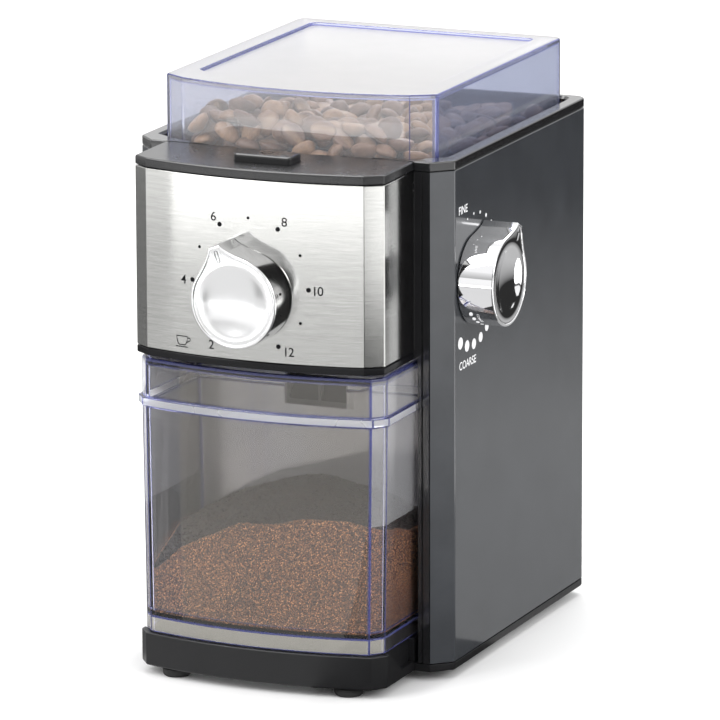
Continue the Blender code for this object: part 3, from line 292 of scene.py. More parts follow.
def coffee_bean():
    """Roasted bean: brown that differs from bean to bean, oily sheen, wrinkles and a pale crease."""
    made = Shader("roasted_bean", (0.16, 0.07, 0.035), 0.42, Coat_Weight=0.25, Coat_Roughness=0.35)
    tone = made.node("ShaderNodeAttribute", attribute_name="tone").outputs["Fac"]
    crease = made.node("ShaderNodeAttribute", attribute_name="crease").outputs["Fac"]
    body = made.ramp(tone, [(0.0, (0.10, 0.047, 0.024)), (0.5, (0.20, 0.105, 0.052)),
                            (1.0, (0.37, 0.22, 0.115))])
    spots = made.ramp(made.noise(520.0, 5.0), [(0.38, 0.0), (0.75, 0.5)])
    mottled = made.mix(spots, body, (0.085, 0.037, 0.019))
    made.drive("Base Color", made.mix(crease, mottled, (0.46, 0.31, 0.18)))
    made.drive("Roughness", made.between(made.noise(800.0, 3.0), 0.32, 0.58))
    made.bump(made.noise(900.0, 4.0, (2.2, 1.0, 1.0)), 0.16 * MM, 0.8)
    return made.material


def ground_coffee():
    """Medium-ground coffee: brown crumbs with orange flecks, painted shade in the gaps, and painted shade
    on the heap's top.
    """
    made = Shader("ground_coffee", (0.12, 0.055, 0.03), 0.85)
    grains = 2200.0
    split = made.node("ShaderNodeSeparateColor")
    made.feed(made.cells(grains, "Color"), split, "Color")
    crumbs = made.ramp(split.outputs[0], [(0.0, (0.06, 0.02, 0.01)), (0.4, (0.19, 0.068, 0.032)),
                                          (0.75, (0.36, 0.145, 0.065)), (1.0, (0.85, 0.4, 0.16))])
    # Painted shade in the gaps between crumbs, darker towards each crumb's edge, with a little painted
    # light on their middles.
    gap_shade = made.ramp(made.cells(grains), [(0.12, 1.25), (0.62, 0.12)])
    # The unshaded mask is 1 along the walls; the rest of the heap's top gets painted shade, multiplied to a
    # dark grey, for the head's shadow.
    unshaded = made.node("ShaderNodeAttribute", attribute_name="unshaded").outputs["Fac"]
    patches = made.ramp(made.noise(35.0, 3.0), [(0.3, 0.8), (0.7, 1.15)])
    shaded = made.mix(1.0, crumbs, gap_shade, "MULTIPLY")
    even = made.mix(1.0, shaded, patches, "MULTIPLY")
    painted_top_shade = made.mix(1.0, even, (0.09, 0.09, 0.095), "MULTIPLY")
    made.drive("Base Color", made.mix(unshaded, painted_top_shade, even))
    made.bump(made.cells(grains), 0.5 * MM, -0.9)
    made.bump(made.noise(2600.0, 3.0), 0.2 * MM, 0.5)
    return made.material


def ink(name, colour, **sockets):
    """Printed ink with a slightly uneven film."""
    made = Shader(name, colour, 0.5, **sockets)
    made.drive("Roughness", made.between(made.noise(600.0), 0.4, 0.6))
    made.bump(made.noise(3000.0, 2.0), 0.003 * MM)
    return made.material


def circuit_board():
    """Solder-masked laminate with a faint weave and copper traces under it."""
    made = Shader("circuit_board", (0.03, 0.16, 0.07), 0.4)
    traces = made.node("ShaderNodeTexBrick")
    made.feed(made.coordinates, traces, "Vector")
    made.feed(160.0, traces, "Scale")
    made.feed((0.02, 0.13, 0.055, 1.0), traces, "Color1")
    made.feed((0.03, 0.18, 0.08, 1.0), traces, "Color2")
    made.feed((0.07, 0.27, 0.11, 1.0), traces, "Mortar")
    made.drive("Base Color", traces.outputs["Color"])
    made.bump(made.noise(1500.0), 0.01 * MM)
    return made.material


ALONG_X, ALONG_XY = (60.0, 1.0, 1.0), (45.0, 45.0, 1.0)
VIOLET = (0.19, 0.21, 0.58)
LOOK = {
    "slate": moulded("slate_satin_plastic", (0.036, 0.039, 0.044), 0.16, 0.004,
                     Coat_Weight=0.4, Coat_Roughness=0.06),
    "gloss_black": moulded("gloss_black_plastic", (0.012, 0.012, 0.013), 0.12, 0.002,
                           Coat_Weight=0.3, Coat_Roughness=0.1),
    "rim_black": moulded("satin_black_plastic", (0.010, 0.010, 0.011), 0.2, 0.004,
                         Coat_Weight=0.6, Coat_Roughness=0.12),
    "cover_black": moulded("cover_black_plastic", (0.012, 0.012, 0.013), 0.26, 0.006,
                           Coat_Weight=0.25, Coat_Roughness=0.2),
    "matt_black": moulded("matt_black_plastic", (0.009, 0.009, 0.010), 0.38, 0.012, 1800.0,
                          Specular_IOR_Level=0.4),
    "tray_black": moulded("tray_black_plastic", (0.006, 0.006, 0.007), 0.2, 0.003,
                          Specular_IOR_Level=0.22),
    "rubber": moulded("black_rubber", (0.012, 0.012, 0.012), 0.75, 0.05, 2500.0),
    "nylon": moulded("natural_nylon", (0.68, 0.66, 0.6), 0.45, 0.02),
    "steel_sheet": brushed("brushed_steel_sheet", (0.55, 0.55, 0.535), 0.14, ALONG_XY, 6200.0, 0.0012,
                           0.15, 0.5),
    "machined": brushed("machined_steel", (0.55, 0.55, 0.54), 0.3, ALONG_X, 3000.0),
    "bronze": brushed("sintered_bronze", (0.55, 0.38, 0.17), 0.38, ALONG_X, 1800.0),
    "chrome": polished("chrome_plate", (0.86, 0.86, 0.87), 0.035),
    "chrome_soft": polished("chrome_plate_satin", (0.93, 0.93, 0.935), 0.19),
    "board": circuit_board(),
    "bean": coffee_bean(),
    "grounds": ground_coffee(),
    "dark_ink": ink("dark_print", (0.005, 0.005, 0.006), Specular_IOR_Level=0.1),
    "mark_ink": ink("mark_print", (0.003, 0.003, 0.004), Specular_IOR_Level=0.02),
    "white_ink": ink("white_print", (0.85, 0.85, 0.86)),
}
CLEAR = {
    # how it ends the material's name: colour, roughness, transmission, what lamps shine through as
    "": ((0.985, 0.985, 1.0), 0.015, 1.0, (0.94, 0.94, 0.97)),
    "_edge": (VIOLET, 0.12, 0.82, (0.75, 0.76, 0.95)),
    "_frosted": ((0.88, 0.89, 0.93), 0.3, 0.7, (0.9, 0.9, 0.92)),
    # Pale, part-frosted pane for the hopper lid's top: painted reflection of the white that the clear top
    # mirrors.
    "_milky": ((0.60, 0.595, 0.60), 0.2, 0.45, (0.8, 0.8, 0.8)),
    "_side": ((0.42, 0.45, 0.57), 0.02, 0.82, (0.93, 0.93, 0.97)),
    "_haze": ((0.93, 0.93, 0.96), 0.03, 0.84, (0.93, 0.93, 0.95)),
    "_back": ((0.93, 0.93, 0.95), 0.03, 0.91, (0.93, 0.93, 0.95)),
    "_window": ((0.99, 0.95, 0.95), 0.02, 0.99, (0.97, 0.96, 0.96)),
    "_warm": ((0.97, 0.92, 0.84), 0.02, 0.975, (0.94, 0.93, 0.92)),
    "_skirt": ((0.84, 0.81, 0.73), 0.08, 0.72, (0.93, 0.93, 0.9)),
}
CLEAR_LOOKS = [clear_plastic("clear_plastic" + end, *values) for end, values in CLEAR.items()]
CLEAR_NAMES = list(CLEAR)


# ---------------------------------------------------------------- mesh helpers

def linked(name, data):
    """A new object in the scene for a mesh, curve, lamp or camera."""
    thing = bpy.data.objects.new(name, data)
    bpy.context.scene.collection.objects.link(thing)
    return thing


def mesh_object(name, bm):
    """An object for a finished bmesh."""
    mesh = bpy.data.meshes.new(name)
    bm.to_mesh(mesh)
    bm.free()
    return linked(name, mesh)


def raw_object(name, bm):
    """An object for a bmesh, with its faces turned to point out."""
    bmesh.ops.recalc_face_normals(bm, faces=bm.faces)
    return mesh_object(name, bm)


def evaluated_mesh(thing):
    """A mesh of an object as it shows, with its modifiers or its curve worked out."""
    graph = bpy.context.evaluated_depsgraph_get()
    return bpy.data.meshes.new_from_object(thing.evaluated_get(graph))


def mesh_from_curve(name, curve):
    """The mesh of a curve or of lettering, with nothing of the curve's object left over."""
    thing = linked(name, curve)
    mesh = evaluated_mesh(thing)
    bpy.data.objects.remove(thing, do_unlink=True)
    return mesh


def settle(thing):
    """Apply an object's modifiers to its mesh."""
    mesh = evaluated_mesh(thing)
    thing.modifiers.clear()
    thing.data = mesh
    return thing


def combine(thing, tools, operation):
    """Boolean solids into an object, and remove them."""
    for tool in tools:
        change = thing.modifiers.new(tool.name, "BOOLEAN")
        change.operation = operation
        change.solver = "EXACT"
        change.object = tool
    settle(thing)
    for tool in tools:
        bpy.data.objects.remove(tool, do_unlink=True)
    return thing


def cut(thing, *tools):
    return combine(thing, tools, "DIFFERENCE")


def join(thing, *tools):
    return combine(thing, tools, "UNION")


def soften(thing, width, angle=35.0, segments=3):
    """Round the edges that turn by more than an angle."""
    bevel = thing.modifiers.new("soften", "BEVEL")
    bevel.width = width * MM
    bevel.segments = segments
    bevel.limit_method = "ANGLE"
    bevel.angle_limit = math.radians(angle)
    bevel.miter_outer = "MITER_ARC"
    return settle(thing)


def dress(thing, body, look, replaces=None, smooth=40.0, weighted=True):
    """Shade, paint and hang a finished mesh on its body."""
    if look:
        thing.data.materials.clear()
        thing.data.materials.append(LOOK[look])
    thing.data.shade_smooth()
    thing.data.set_sharp_from_angle(angle=math.radians(smooth))
    if weighted:
        even = thing.modifiers.new("even_normals", "WEIGHTED_NORMAL")
        even.keep_sharp = True
        settle(thing)
    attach(thing, body)
    if replaces:
        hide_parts(replaces)
    return thing


def tint_edges(thing, half, radius, facet, panes):
    """Give a clear piece its materials: violet where it turns, and panes(normal, middle) elsewhere."""
    for look in CLEAR_LOOKS:
        thing.data.materials.append(look)
    across, back = facet
    front_sweep = math.degrees(math.asin((half - across) / radius))
    facet_turn = math.degrees(math.atan2(back, across))
    for face in thing.data.polygons:
        normal, middle = face.normal, (face.center - ZERO) / MM
        azimuth = math.degrees(math.atan2(abs(normal.x), abs(normal.y)))
        upright = abs(normal.z) < 0.2
        turning = front_sweep + 1.5 < azimuth < 87.0 and abs(azimuth - facet_turn) > 3.0
        rounded = not upright and abs(normal.z) < 0.97
        look = "_edge" if rounded or (upright and turning) else panes(normal, middle)
        face.material_index = CLEAR_NAMES.index(look)


def lid_pane(normal, middle):
    """The hopper lid's panes: a pale top that is painted reflection, smoky sides and recess edge, hazy
    front.
    """
    at_top = middle.z > LID_HIGH.z - RECESS_DEPTH - 0.2
    margin = 0.6
    across = abs(middle.x) < RECESS_HALF + margin
    # Painted reflection: the top pane is made pale instead of mirroring its white surroundings.
    if at_top and normal.z > 0.97:
        return "_milky"
    if at_top and across and RECESS_FRONT - margin < middle.y < RECESS_REAR + margin:
        return "_side"
    if normal.y < -0.8 and middle.z > LID_LOW.z + 2.0 and middle.y < 12.0:
        return "_haze"
    return "_side" if abs(normal.x) > 0.95 else ""


def container_pane(normal, middle):
    """The container's panes: beige skirt, warm front, greyish rear, hazy upper sides."""
    sideways = abs(normal.x) > 0.4
    if middle.z < CONTAINER_FLOOR and normal.y < -0.5:
        return "_skirt"
    if normal.y < -0.9 and middle.y < 0.0 and middle.x > -33.0:
        return "_warm"
    if abs(normal.y) > 0.9 and middle.y > 20.0 and middle.z > CONTAINER_FLOOR:
        return "_back"
    if sideways and normal.x * middle.x > 0.5 and middle.z > GROUNDS_SIDE:
        return "_haze"
    return "_window" if sideways else ""


def container_lid_pane(normal, middle):
    """The container lid's panes: a frosted ledge, and the rest as on the container."""
    on_ledge = LEDGE_LOW < middle.z < LEDGE_TOP and abs(normal.z) < 0.2
    return "_frosted" if on_ledge else container_pane(normal, middle)


def bridge(bm, lower, upper):
    """Faces between two closed loops with the same number of vertices."""
    for index, corner in enumerate(lower):
        following = (index + 1) % len(lower)
        bm.faces.new((corner, lower[following], upper[following], upper[index]))


def skin(name, rings, caps=(True, True), closed=False):
    """A skin through rings of layout points, all with the same number of points."""
    bm = bmesh.new()
    loops = [[bm.verts.new(row(*point)) for point in ring] for ring in rings]
    pairs = list(zip(loops, loops[1:]))
    if closed:
        pairs.append((loops[-1], loops[0]))
    for lower, upper in pairs:
        bridge(bm, lower, upper)
    if caps[0] and not closed:
        bm.faces.new(loops[0])
    if caps[1] and not closed:
        bm.faces.new(loops[-1])
    return raw_object(name, bm)


def placed_z(outline, height):
    """An outline in the X-Y plane at a height."""
    return [(x, y, height) for x, y in outline]


def placed_y(outline, depth):
    """An outline in the X-Z plane at a depth."""
    return [(x, depth, z) for x, z in outline]


def placed_x(outline, side):
    """An outline in the Y-Z plane at a place across the grinder."""
    return [(side, y, z) for y, z in outline]


def prism(name, outline, low, high, place=placed_z):
    """An outline extruded from low to high."""
    return skin(name, [place(outline, low), place(outline, high)])


def block(name, low, high, edge=0.0, segments=2):
    """A block between two corners, with its edges rounded."""
    outline = [(low[0], low[1]), (high[0], low[1]), (high[0], high[1]), (low[0], high[1])]
    made = prism(name, outline, low[2], high[2])
    return soften(made, edge, 35.0, segments) if edge else made


def turned(name, profile, centre, place=placed_z, count=64):
    """A turned solid: (radius, height) down its outer side; it closes on the axis or into a ring."""
    rings = [place(circle(centre, max(radius, 0.0), count), height) for radius, height in profile]
    if profile[0][0] > 0.0 and profile[-1][0] > 0.0 and profile[0] != profile[-1]:
        return skin(name, rings, closed=True)
    tips = [index for index in (0, -1) if profile[index][0] <= 0.0]
    made_rings = [ring for ring, (radius, _) in zip(rings, profile) if radius > 0.0]
    return skin(name, made_rings, caps=(0 in tips, -1 in tips))


def rod(name, radius, high, low, centre, place=placed_z, count=32):
    """A plain cylinder, mostly to cut a hole with."""
    return turned(name, [(0, high), (radius, high), (radius, low), (0, low)], centre, place, count)


# ---------------------------------------------------------------- outlines

def circle(centre, radius, count=64):
    return [(centre[0] + radius * math.cos(2 * math.pi * step / count),
             centre[1] + radius * math.sin(2 * math.pi * step / count)) for step in range(count)]


def polar(centre, half_u, half_v, degrees):
    """A point on an ellipse, by its angle clockwise from straight up (+v)."""
    angle = math.radians(degrees)
    return (centre[0] + half_u * math.sin(angle), centre[1] + half_v * math.cos(angle))


def filleted(corners, steps=4):
    """Round a closed polygon of (u, v, radius); a radius of 0 keeps the point as it is."""
    points = []
    for index, (u, v, radius) in enumerate(corners):
        here = Vector((u, v))
        if radius <= 0.0:
            points.append((u, v))
            continue
        before = Vector(corners[index - 1][:2]) - here
        after = Vector(corners[(index + 1) % len(corners)][:2]) - here
        turn = math.pi - before.angle(after)
        reach = min(radius * math.tan(turn / 2), before.length * 0.45, after.length * 0.45)
        first, last = here + before.normalized() * reach, here + after.normalized() * reach
        weight = math.cos(turn / 2)
        for step in range(steps + 1):
            t = step / steps
            parts = ((1 - t) ** 2, 2 * t * (1 - t) * weight, t ** 2)
            point = (first * parts[0] + here * parts[1] + last * parts[2]) / sum(parts)
            points.append(tuple(point))
    return points


def mirrored(corners):
    """The right half of an outline's corners, closed by its mirror image."""
    return corners + [(-u, *rest) for u, *rest in reversed(corners) if abs(u) > 0.001]


def bisected(below, low, high, steps=40):
    """The place between low and high at which below(place) stops being true."""
    for _ in range(steps):
        middle = (low + high) / 2
        if below(middle):
            low = middle
        else:
            high = middle
    return low


def bow_depth(x, front, radius):
    """How far back a bowed front lies at a place across it."""
    return front + radius - math.sqrt(radius ** 2 - x ** 2)


def bowed(half, rear, front, radius, corner, rear_corner=0.0, inset=0.0, edge=0.8, steps=12):
    """A plan with a bowed front, flat facets (across, back) at its front corners, and a flat rear."""
    middle = front + radius
    across, back = corner
    start = Vector((half - across, bow_depth(half - across, front, radius)))
    facet = Vector((across, back)).normalized()
    inward = Vector((-facet.y, facet.x)) * inset
    half, rear, radius = half - inset, rear - inset, radius - inset
    first = start + inward
    corner_y = first.y + (half - first.x) * facet.y / facet.x

    def behind_facet(x):
        return middle - math.sqrt(radius ** 2 - x ** 2) > first.y + (x - first.x) * facet.y / facet.x

    sweep = math.asin(bisected(behind_facet, 0.0, half, 30) / radius)
    corners = []
    for step in range(steps + 1):
        angle = sweep * step / steps
        corners.append((radius * math.sin(angle), middle - radius * math.cos(angle), 0.0))
    corners[-1] = (*corners[-1][:2], edge)
    corners.append((half, corner_y, edge))
    corners.append((half, rear, max(rear_corner - inset, 0.25)))
    return filleted(mirrored(corners))


def platform_plan(rear, inset=0.0):
    return bowed(FRONT_HALF, rear, FRONT_Y, FRONT_RADIUS, PLATFORM_FACET, inset=inset)


def head_plan(rear, inset=0.0):
    return bowed(FRONT_HALF, rear, FRONT_Y, FRONT_RADIUS, HEAD_FACET, inset=inset)


def container_plan(half, inset=0.0):
    front = FRONT_Y + FRONT_HALF - half + 1.2
    return bowed(half, CONTAINER_REAR, front, FRONT_RADIUS, PLATFORM_FACET, 3.0, inset, 1.2)


def lid_plan(inset=0.0):
    return bowed(LID_HALF, LID_HIGH.y, LID_LOW.y, LID_RADIUS, LID_FACET, 4.0, inset, 2.0)


def recess_plan(inset=0.0):
    """The shallow recess in the lid's top, with as many points as the lid's plan."""
    return bowed(RECESS_HALF, RECESS_REAR, RECESS_FRONT, 4000.0, (3.0, 3.0), 3.0, inset, 1.5)


def opening_plan(inset=0.0):
    """The opening in the top rim that the hopper lid drops into."""
    return bowed(LID_HALF + LID_GAP, LID_HIGH.y + 1.0, LID_LOW.y - 1.0, LID_RADIUS + 1.0, (12.4, 7.6), 4.5,
                 inset, 1.0)


def lip_plan(margin):
    """The front lip that carries the rim past the housing's front face."""
    grown = 1.0 + margin
    return bowed(FRONT_HALF - 2.0, 40.0, LID_LOW.y - grown, LID_RADIUS + grown, (9.0, 6.0), edge=1.0)


def rounded_box(left, right, front, rear, radius, steps=4):
    """A rectangle with rounded corners."""
    corners = ((left, front), (right, front), (right, rear), (left, rear))
    return filleted([(u, v, radius) for u, v in corners], steps)


def button_plan(inset, radius, steps=4):
    """The start button's plan, or the opening round it where the inset is negative."""
    low, high = BUTTON_LOW, BUTTON_HIGH
    return rounded_box(low.x + inset, high.x - inset, low.y + inset, high.y - inset, radius, steps)


def housing_corners(inset, edge):
    """The right side of the housing's plan: front chamfer, side and rear corner."""
    slant = inset * math.tan(math.radians(22.5))
    return [(HOUSING_HALF - CHAMFER - slant, inset, 0.7), (HOUSING_HALF - inset, CHAMFER + slant, edge),
            (HOUSING_HALF - inset, HOUSING_REAR - inset, REAR_CORNER - inset)]


def housing_plan(inset=0.0, edge=2.2, steps=6):
    return filleted(mirrored(housing_corners(inset, edge)), steps)


def quarter(steps):
    """Angles over a quarter turn, in radians."""
    return [math.pi / 2 * step / steps for step in range(steps + 1)]


def stacked(plan, sides):
    """The rings of a solid whose plan is a function of its inset, at pairs of (inset, height)."""
    return [placed_z(plan(inset), height) for inset, height in sides]


def plate(name, plan, low, high, r_low, r_high):
    """A plate whose plan is a function of its inset, with rounded lower and upper edges."""
    lower = [(r_low * (1 - math.sin(a)), low + r_low * (1 - math.cos(a))) for a in quarter(3)]
    upper = [(r_high * (1 - math.cos(a)), high - r_high * (1 - math.sin(a))) for a in quarter(3)]
    return skin(name, stacked(plan, lower + upper))


# ---------------------------------------------------------------- base, housing and rim

def make_base():
    """Bottom pan with the hollow front platform, its side notches, foot sockets and air slots."""
    wall, below, slot_half = 2.5, -1.0, 1.5
    base = plate("base_moulding", housing_plan, 0.0, BASE_TOP_PLATE, 0.8, 0.2)
    platform = partial(platform_plan, BAY_REAR - GAP)
    join(base, plate("platform", platform, 0.0, PLATFORM_TOP, 0.9, 0.5))
    hollow = prism("hollow", platform_plan(BAY_REAR - 3.0, wall), below, PLATFORM_TOP - wall)
    ribs = [block("rib", (x - 1.0, -50.0, -2.0), (x + 1.0, 40.0, 20.0)) for x in (-18.0, 18.0)]
    bosses = [rod("boss", 7.2, 20.0, -2.0, centre_of("foot_" + name)) for name in FEET[:2]]
    cut(hollow, *ribs, *bosses)
    cut(base, hollow)
    notch = [(-26.5, 14.4), (-12.5, 4.0), (-GAP, 4.0), (-GAP, 14.4)]
    for sign in (-1, 1):
        cut(base, prism("notch", notch, sign * 50.4, sign * 54.0, placed_x))
    for name in FEET:
        screw = centre_of("base_screw_" + name)
        cut(base, rod("foot_socket", 2.8, 2.4, below, centre_of("foot_" + name)))
        cut(base, rod("screw_socket", 3.6, 1.6, below, screw))
        cut(base, rod("screw_hole", 1.9, 5.0, below, screw, count=24))
    for x in (-20.0, -10.0, 0.0, 10.0, 20.0):
        cut(base, block("air_slot", (x - slot_half, 84.0, below), (x + slot_half, 136.0, 5.0)))
    dress(base, "grinder_body", "matt_black", "base", 30.0)


def make_feet():
    """Rubber feet with a moulded rim and a shallow suction dish underneath."""
    for name in FEET:
        top = span("foot_" + name)[1].z
        profile = [(0.0, top), (2.5, top), (2.5, -GAP), (5.2, -GAP), (5.65, -0.5), (5.8, -0.9),
                   (5.75, -2.4), (5.5, -3.1), (5.1, -3.5), (4.3, -3.5), (4.0, -3.2), (2.0, -3.0),
                   (0.0, -2.95)]
        foot = turned("rubber_foot_" + name, profile, centre_of("foot_" + name), count=48)
        dress(foot, "grinder_body", "rubber", "foot_" + name, 50.0)


def make_housing():
    """Satin side and rear walls with softened chamfer edges, rear air slots and the knob's hole."""
    bevel = 0.25
    sides = [(bevel, SEAM_LOW), (0.0, SEAM_LOW + bevel), (0.0, SEAM_HIGH - bevel), (bevel, SEAM_HIGH)]
    shell = skin("housing_walls", stacked(partial(housing_plan, steps=8), sides))
    cut(shell, prism("inside", housing_plan(WALL, 1.0, 8), SEAM_LOW - 1, SEAM_HIGH + 1))
    edge = HOUSING_HALF - CHAMFER
    cut(shell, block("front_opening", (-edge, -5.0, SEAM_LOW - 1), (edge, WALL + 1.1, SEAM_HIGH + 1)))
    cut(shell, rod("knob_hole", 6.3, 70.0, 60.0, (FINENESS_Y, FINENESS_Z), placed_x, 40))
    gland = centre_of("cord_gland")
    cut(shell, rod("gland_hole", 5.6, 150.0, 140.0, (gland.x, gland.z), placed_y, 40))
    for index in range(7):
        x = (index - 3) * 8.0
        cut(shell, block("rear_slot", (x - 1.5, 140.0, 34.0), (x + 1.5, 151.0, 66.0), 1.4, 3))
    dress(shell, "grinder_body", "slate", "housing_shell", 32.0)


def make_front_frame():
    """Glossy front plate with its thin grooves, and the container bay behind it."""
    head_floor = 192.6
    right = [(FRONT_HALF, head_floor), (FRONT_HALF, SEAM_HIGH), (FRAME_HALF, SEAM_HIGH),
             (FRAME_HALF, SEAM_LOW)]
    left = [(-x, z) for x, z in reversed(right)]
    frame_plate = prism("front_plate", left + right, 0.0, WALL, placed_y)
    outer = BAY_HALF + WALL
    join(frame_plate, block("bay", (-outer, 0.5, SEAM_LOW), (outer, BAY_REAR + WALL, BAY_TOP + WALL)))
    cut(frame_plate, block("bay_room", (-BAY_HALF, -5.0, 0.0), (BAY_HALF, BAY_REAR, BAY_TOP), 1.2, 3))
    pad = rounded_box(-17.6, 18.8, 95.0, 112.0, 1.5)
    join(frame_plate, prism("mouth_pad", pad, BAY_REAR - 1.2, BAY_REAR + 1.0, placed_y))
    cut(frame_plate, block("mouth_hole", (-15.3, 20.0, 96.6), (15.3, 40.0, 110.4)))
    cut(frame_plate, block("wiring_window", (-30.0, -5.0, 140.0), (30.0, 5.0, 180.0)))
    groove_half = 0.35
    for x in (-56.3, 56.3):
        cut(frame_plate, block("groove", (x - groove_half, -5.0, 0.0), (x + groove_half, 0.8, 210.0)))
    soften(frame_plate, 0.25, 40.0, 2)
    dress(frame_plate, "grinder_body", "gloss_black", "front_frame", 32.0)


def make_top_rim():
    """Black rim that crowns the housing, with a polished bevel round the lid's opening."""
    rim = plate("crown_rim", housing_plan, SEAM_HIGH + GAP, RIM_TOP, 0.3, 0.6)
    join(rim, prism("rim_skirt", housing_plan(WALL + GAP, 1.0), RIM_LOW, SEAM_HIGH + 1.0))
    join(rim, prism("rim_front", lip_plan(3.0), RIM_LOW, SEAM_HIGH))
    cut(rim, prism("rim_opening", opening_plan(), RIM_LOW - 5.0, RIM_TOP + 5.0))
    bevel = [placed_z(opening_plan(0.0), RIM_TOP - 1.1), placed_z(opening_plan(-1.6), RIM_TOP + 0.5)]
    cut(rim, skin("opening_bevel", bevel))
    cut(rim, prism("cover_room", head_plan(0.0, -GAP), STEEL_HIGH - GAP, RIM_TOP + 5.0))
    soften(rim, 0.18, 40.0, 2)
    dress(rim, "grinder_body", "rim_black", "top_rim", 32.0)


def make_cord_gland():
    """Flanged inlet bush with a funnel-shaped mouth and grip ribs."""
    middle, rear = centre_of("cord_gland"), span("cord_gland")[1].y
    outside, inside = HOUSING_REAR + GAP, HOUSING_REAR - WALL - GAP
    profile = [(4.6, rear), (6.4, rear), (7.2, rear - 0.3), (7.6, rear - 0.9), (7.6, outside),
               (5.3, outside), (5.3, inside), (7.0, inside), (7.0, inside - 2.0), (3.6, inside - 2.0),
               (3.6, rear - 1.2)]
    gland = turned("inlet_bush", profile, (middle.x, middle.z), placed_y, 56)
    for nick in circle((middle.x, middle.z), 7.7, 12):
        cut(gland, rod("nick", 0.45, rear + 1, outside + 0.6, nick, placed_y, 12))
    dress(gland, "grinder_body", "matt_black", "cord_gland")


# ---------------------------------------------------------------- head

def make_head():
    """Black tray and inner walls of the head, with a shadow groove under the steel."""
    sheet = STEEL_SHEET + GAP
    body = plate("head_tray", partial(head_plan, -GAP), HEAD_LOW, STEEL_LOW - GAP, 0.5, 0.35)
    join(body, prism("head_walls", head_plan(-GAP, sheet), STEEL_LOW - 1.0, SEAM_HIGH))
    cut(body, prism("head_room", head_plan(20.0 - GAP, sheet + 2.2), HEAD_LOW + 2.4, SEAM_HIGH + 5.0))
    cut(body, rod("timer_hole", 7.4, -30.0, -60.0, (0.0, PORTION_Z), placed_y, 48))
    dress(body, "grinder_body", "tray_black", "head_body", 32.0)


def make_steel_panel():
    """Brushed sheet wrapped round the head's front and sides, with rolled edges."""
    panel = plate("steel_wrap", partial(head_plan, -GAP), STEEL_LOW, SEAM_HIGH, 0.35, 0.35)
    cut(panel, prism("sheet_room", head_plan(20.0, STEEL_SHEET), STEEL_LOW - 1.0, SEAM_HIGH + 1.0))
    cut(panel, rod("panel_hole", 3.6, -30.0, -60.0, (0.0, PORTION_Z), placed_y, 48))
    dress(panel, "grinder_body", "steel_sheet", "steel_panel", 32.0)


def make_head_cover():
    """Black top of the head, cut back round the rim's opening and open for the button."""
    cover = plate("head_top", partial(head_plan, -GAP), STEEL_HIGH, RIM_TOP, 0.35, 0.8)
    cut(cover, prism("rim_room", opening_plan(-GAP), STEEL_HIGH - 2.0, RIM_TOP + 2.0))
    cut(cover, prism("button_hole", button_plan(-0.35, 1.6), STEEL_HIGH - 2.0, RIM_TOP + 2.0))
    soften(cover, 0.2, 45.0, 2)
    dress(cover, "grinder_body", "cover_black", "head_cover", 32.0)


def make_button():
    """Glossy start button with a soft crown, its plunger, and the power mark printed on it."""
    middle_y = (BUTTON_LOW.y + BUTTON_HIGH.y) / 2
    cap_low, top = 200.2, BUTTON_HIGH.z

    def plan(inset):
        return button_plan(inset, max(1.4 - inset, 0.4), 5)

    cap = plate("button_cap", plan, cap_low, top, 0.3, 0.9)
    join(cap, rod("plunger", 1.8, cap_low + 0.8, BUTTON_LOW.z, (0.0, middle_y)))
    dress(cap, "start_button", "gloss_black", "start_button", 32.0)
    ring = [polar((0.0, middle_y), 2.1, 2.1, degrees) for degrees in range(40, 321, 10)]
    strokes = [ribbon(ring, 0.42), ribbon([(0.0, middle_y + 0.9), (0.0, middle_y + 2.9)], 0.42)]
    mark = print_mesh("power_mark", strokes, lambda u, v: (u, v, top + INK_LIFT), (0.0, 0.0, INK_FILM))
    dress(mark, "start_button", "mark_ink", weighted=False)


def make_button_spring():
    """Return spring under the start button."""
    low, high = span("button_spring")
    wire, turns, per_turn, travel = 0.35, 4, 24, 1.5
    reach = (high.x - low.x) / 2 - wire
    middle_y = (low.y + high.y) / 2
    count = turns * per_turn
    curve = bpy.data.curves.new("spring_wire", "CURVE")
    curve.dimensions = "3D"
    curve.bevel_depth = wire * MM
    curve.bevel_resolution = 3
    curve.use_fill_caps = True
    spline = curve.splines.new("POLY")
    spline.points.add(count)
    for step, point in enumerate(spline.points):
        angle = 2 * math.pi * step / per_turn
        rise = low.z + wire + (high.z - low.z - 2 * wire) * step / count
        point.co = (*row(reach * math.cos(angle), middle_y + reach * math.sin(angle), rise), 1.0)
    spring = linked("start_button_spring", mesh_from_curve("spring_wire", curve))
    dress(spring, "grinder_body", "machined", "button_spring", weighted=False)
    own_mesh(spring)


# ---------------------------------------------------------------- knobs

def knob_radius(angle):
    """The knob's outline: radius at an angle from the pointer, in radians."""
    spread = math.radians(KNOB_SPREAD)
    off = abs((angle + math.pi) % (2 * math.pi) - math.pi)
    if off <= KNOB_TIP:
        return KNOB_TIP_R / math.cos(off)
    if off >= spread:
        return KNOB_R
    start = Vector((KNOB_R * math.sin(spread), KNOB_R * math.cos(spread)))
    control = start + Vector((-math.cos(spread), math.sin(spread))) * 9.0
    end = Vector((KNOB_TIP_HALF, KNOB_TIP_R))

    def flank(t):
        return end * (1 - t) ** 2 + control * 2 * t * (1 - t) + start * t ** 2

    return flank(bisected(lambda t: math.atan2(*flank(t)) < off, 0.0, 1.0)).length


def knob_angles():
    """Angles round the knob, close together at the pointer."""
    tip = math.degrees(KNOB_TIP)
    near = [tip * share for share in (-1.0, -0.93, -0.5, 0.0, 0.5, 0.93, 1.0)]
    flank = [tip + (KNOB_SPREAD - tip) * (step / 14) ** 1.3 for step in range(1, 15)]
    rest = [KNOB_SPREAD + (360.0 - 2 * KNOB_SPREAD) * step / 72 for step in range(1, 72)]
    return [math.radians(a) for a in near + flank + rest + [-a for a in reversed(flank)]]


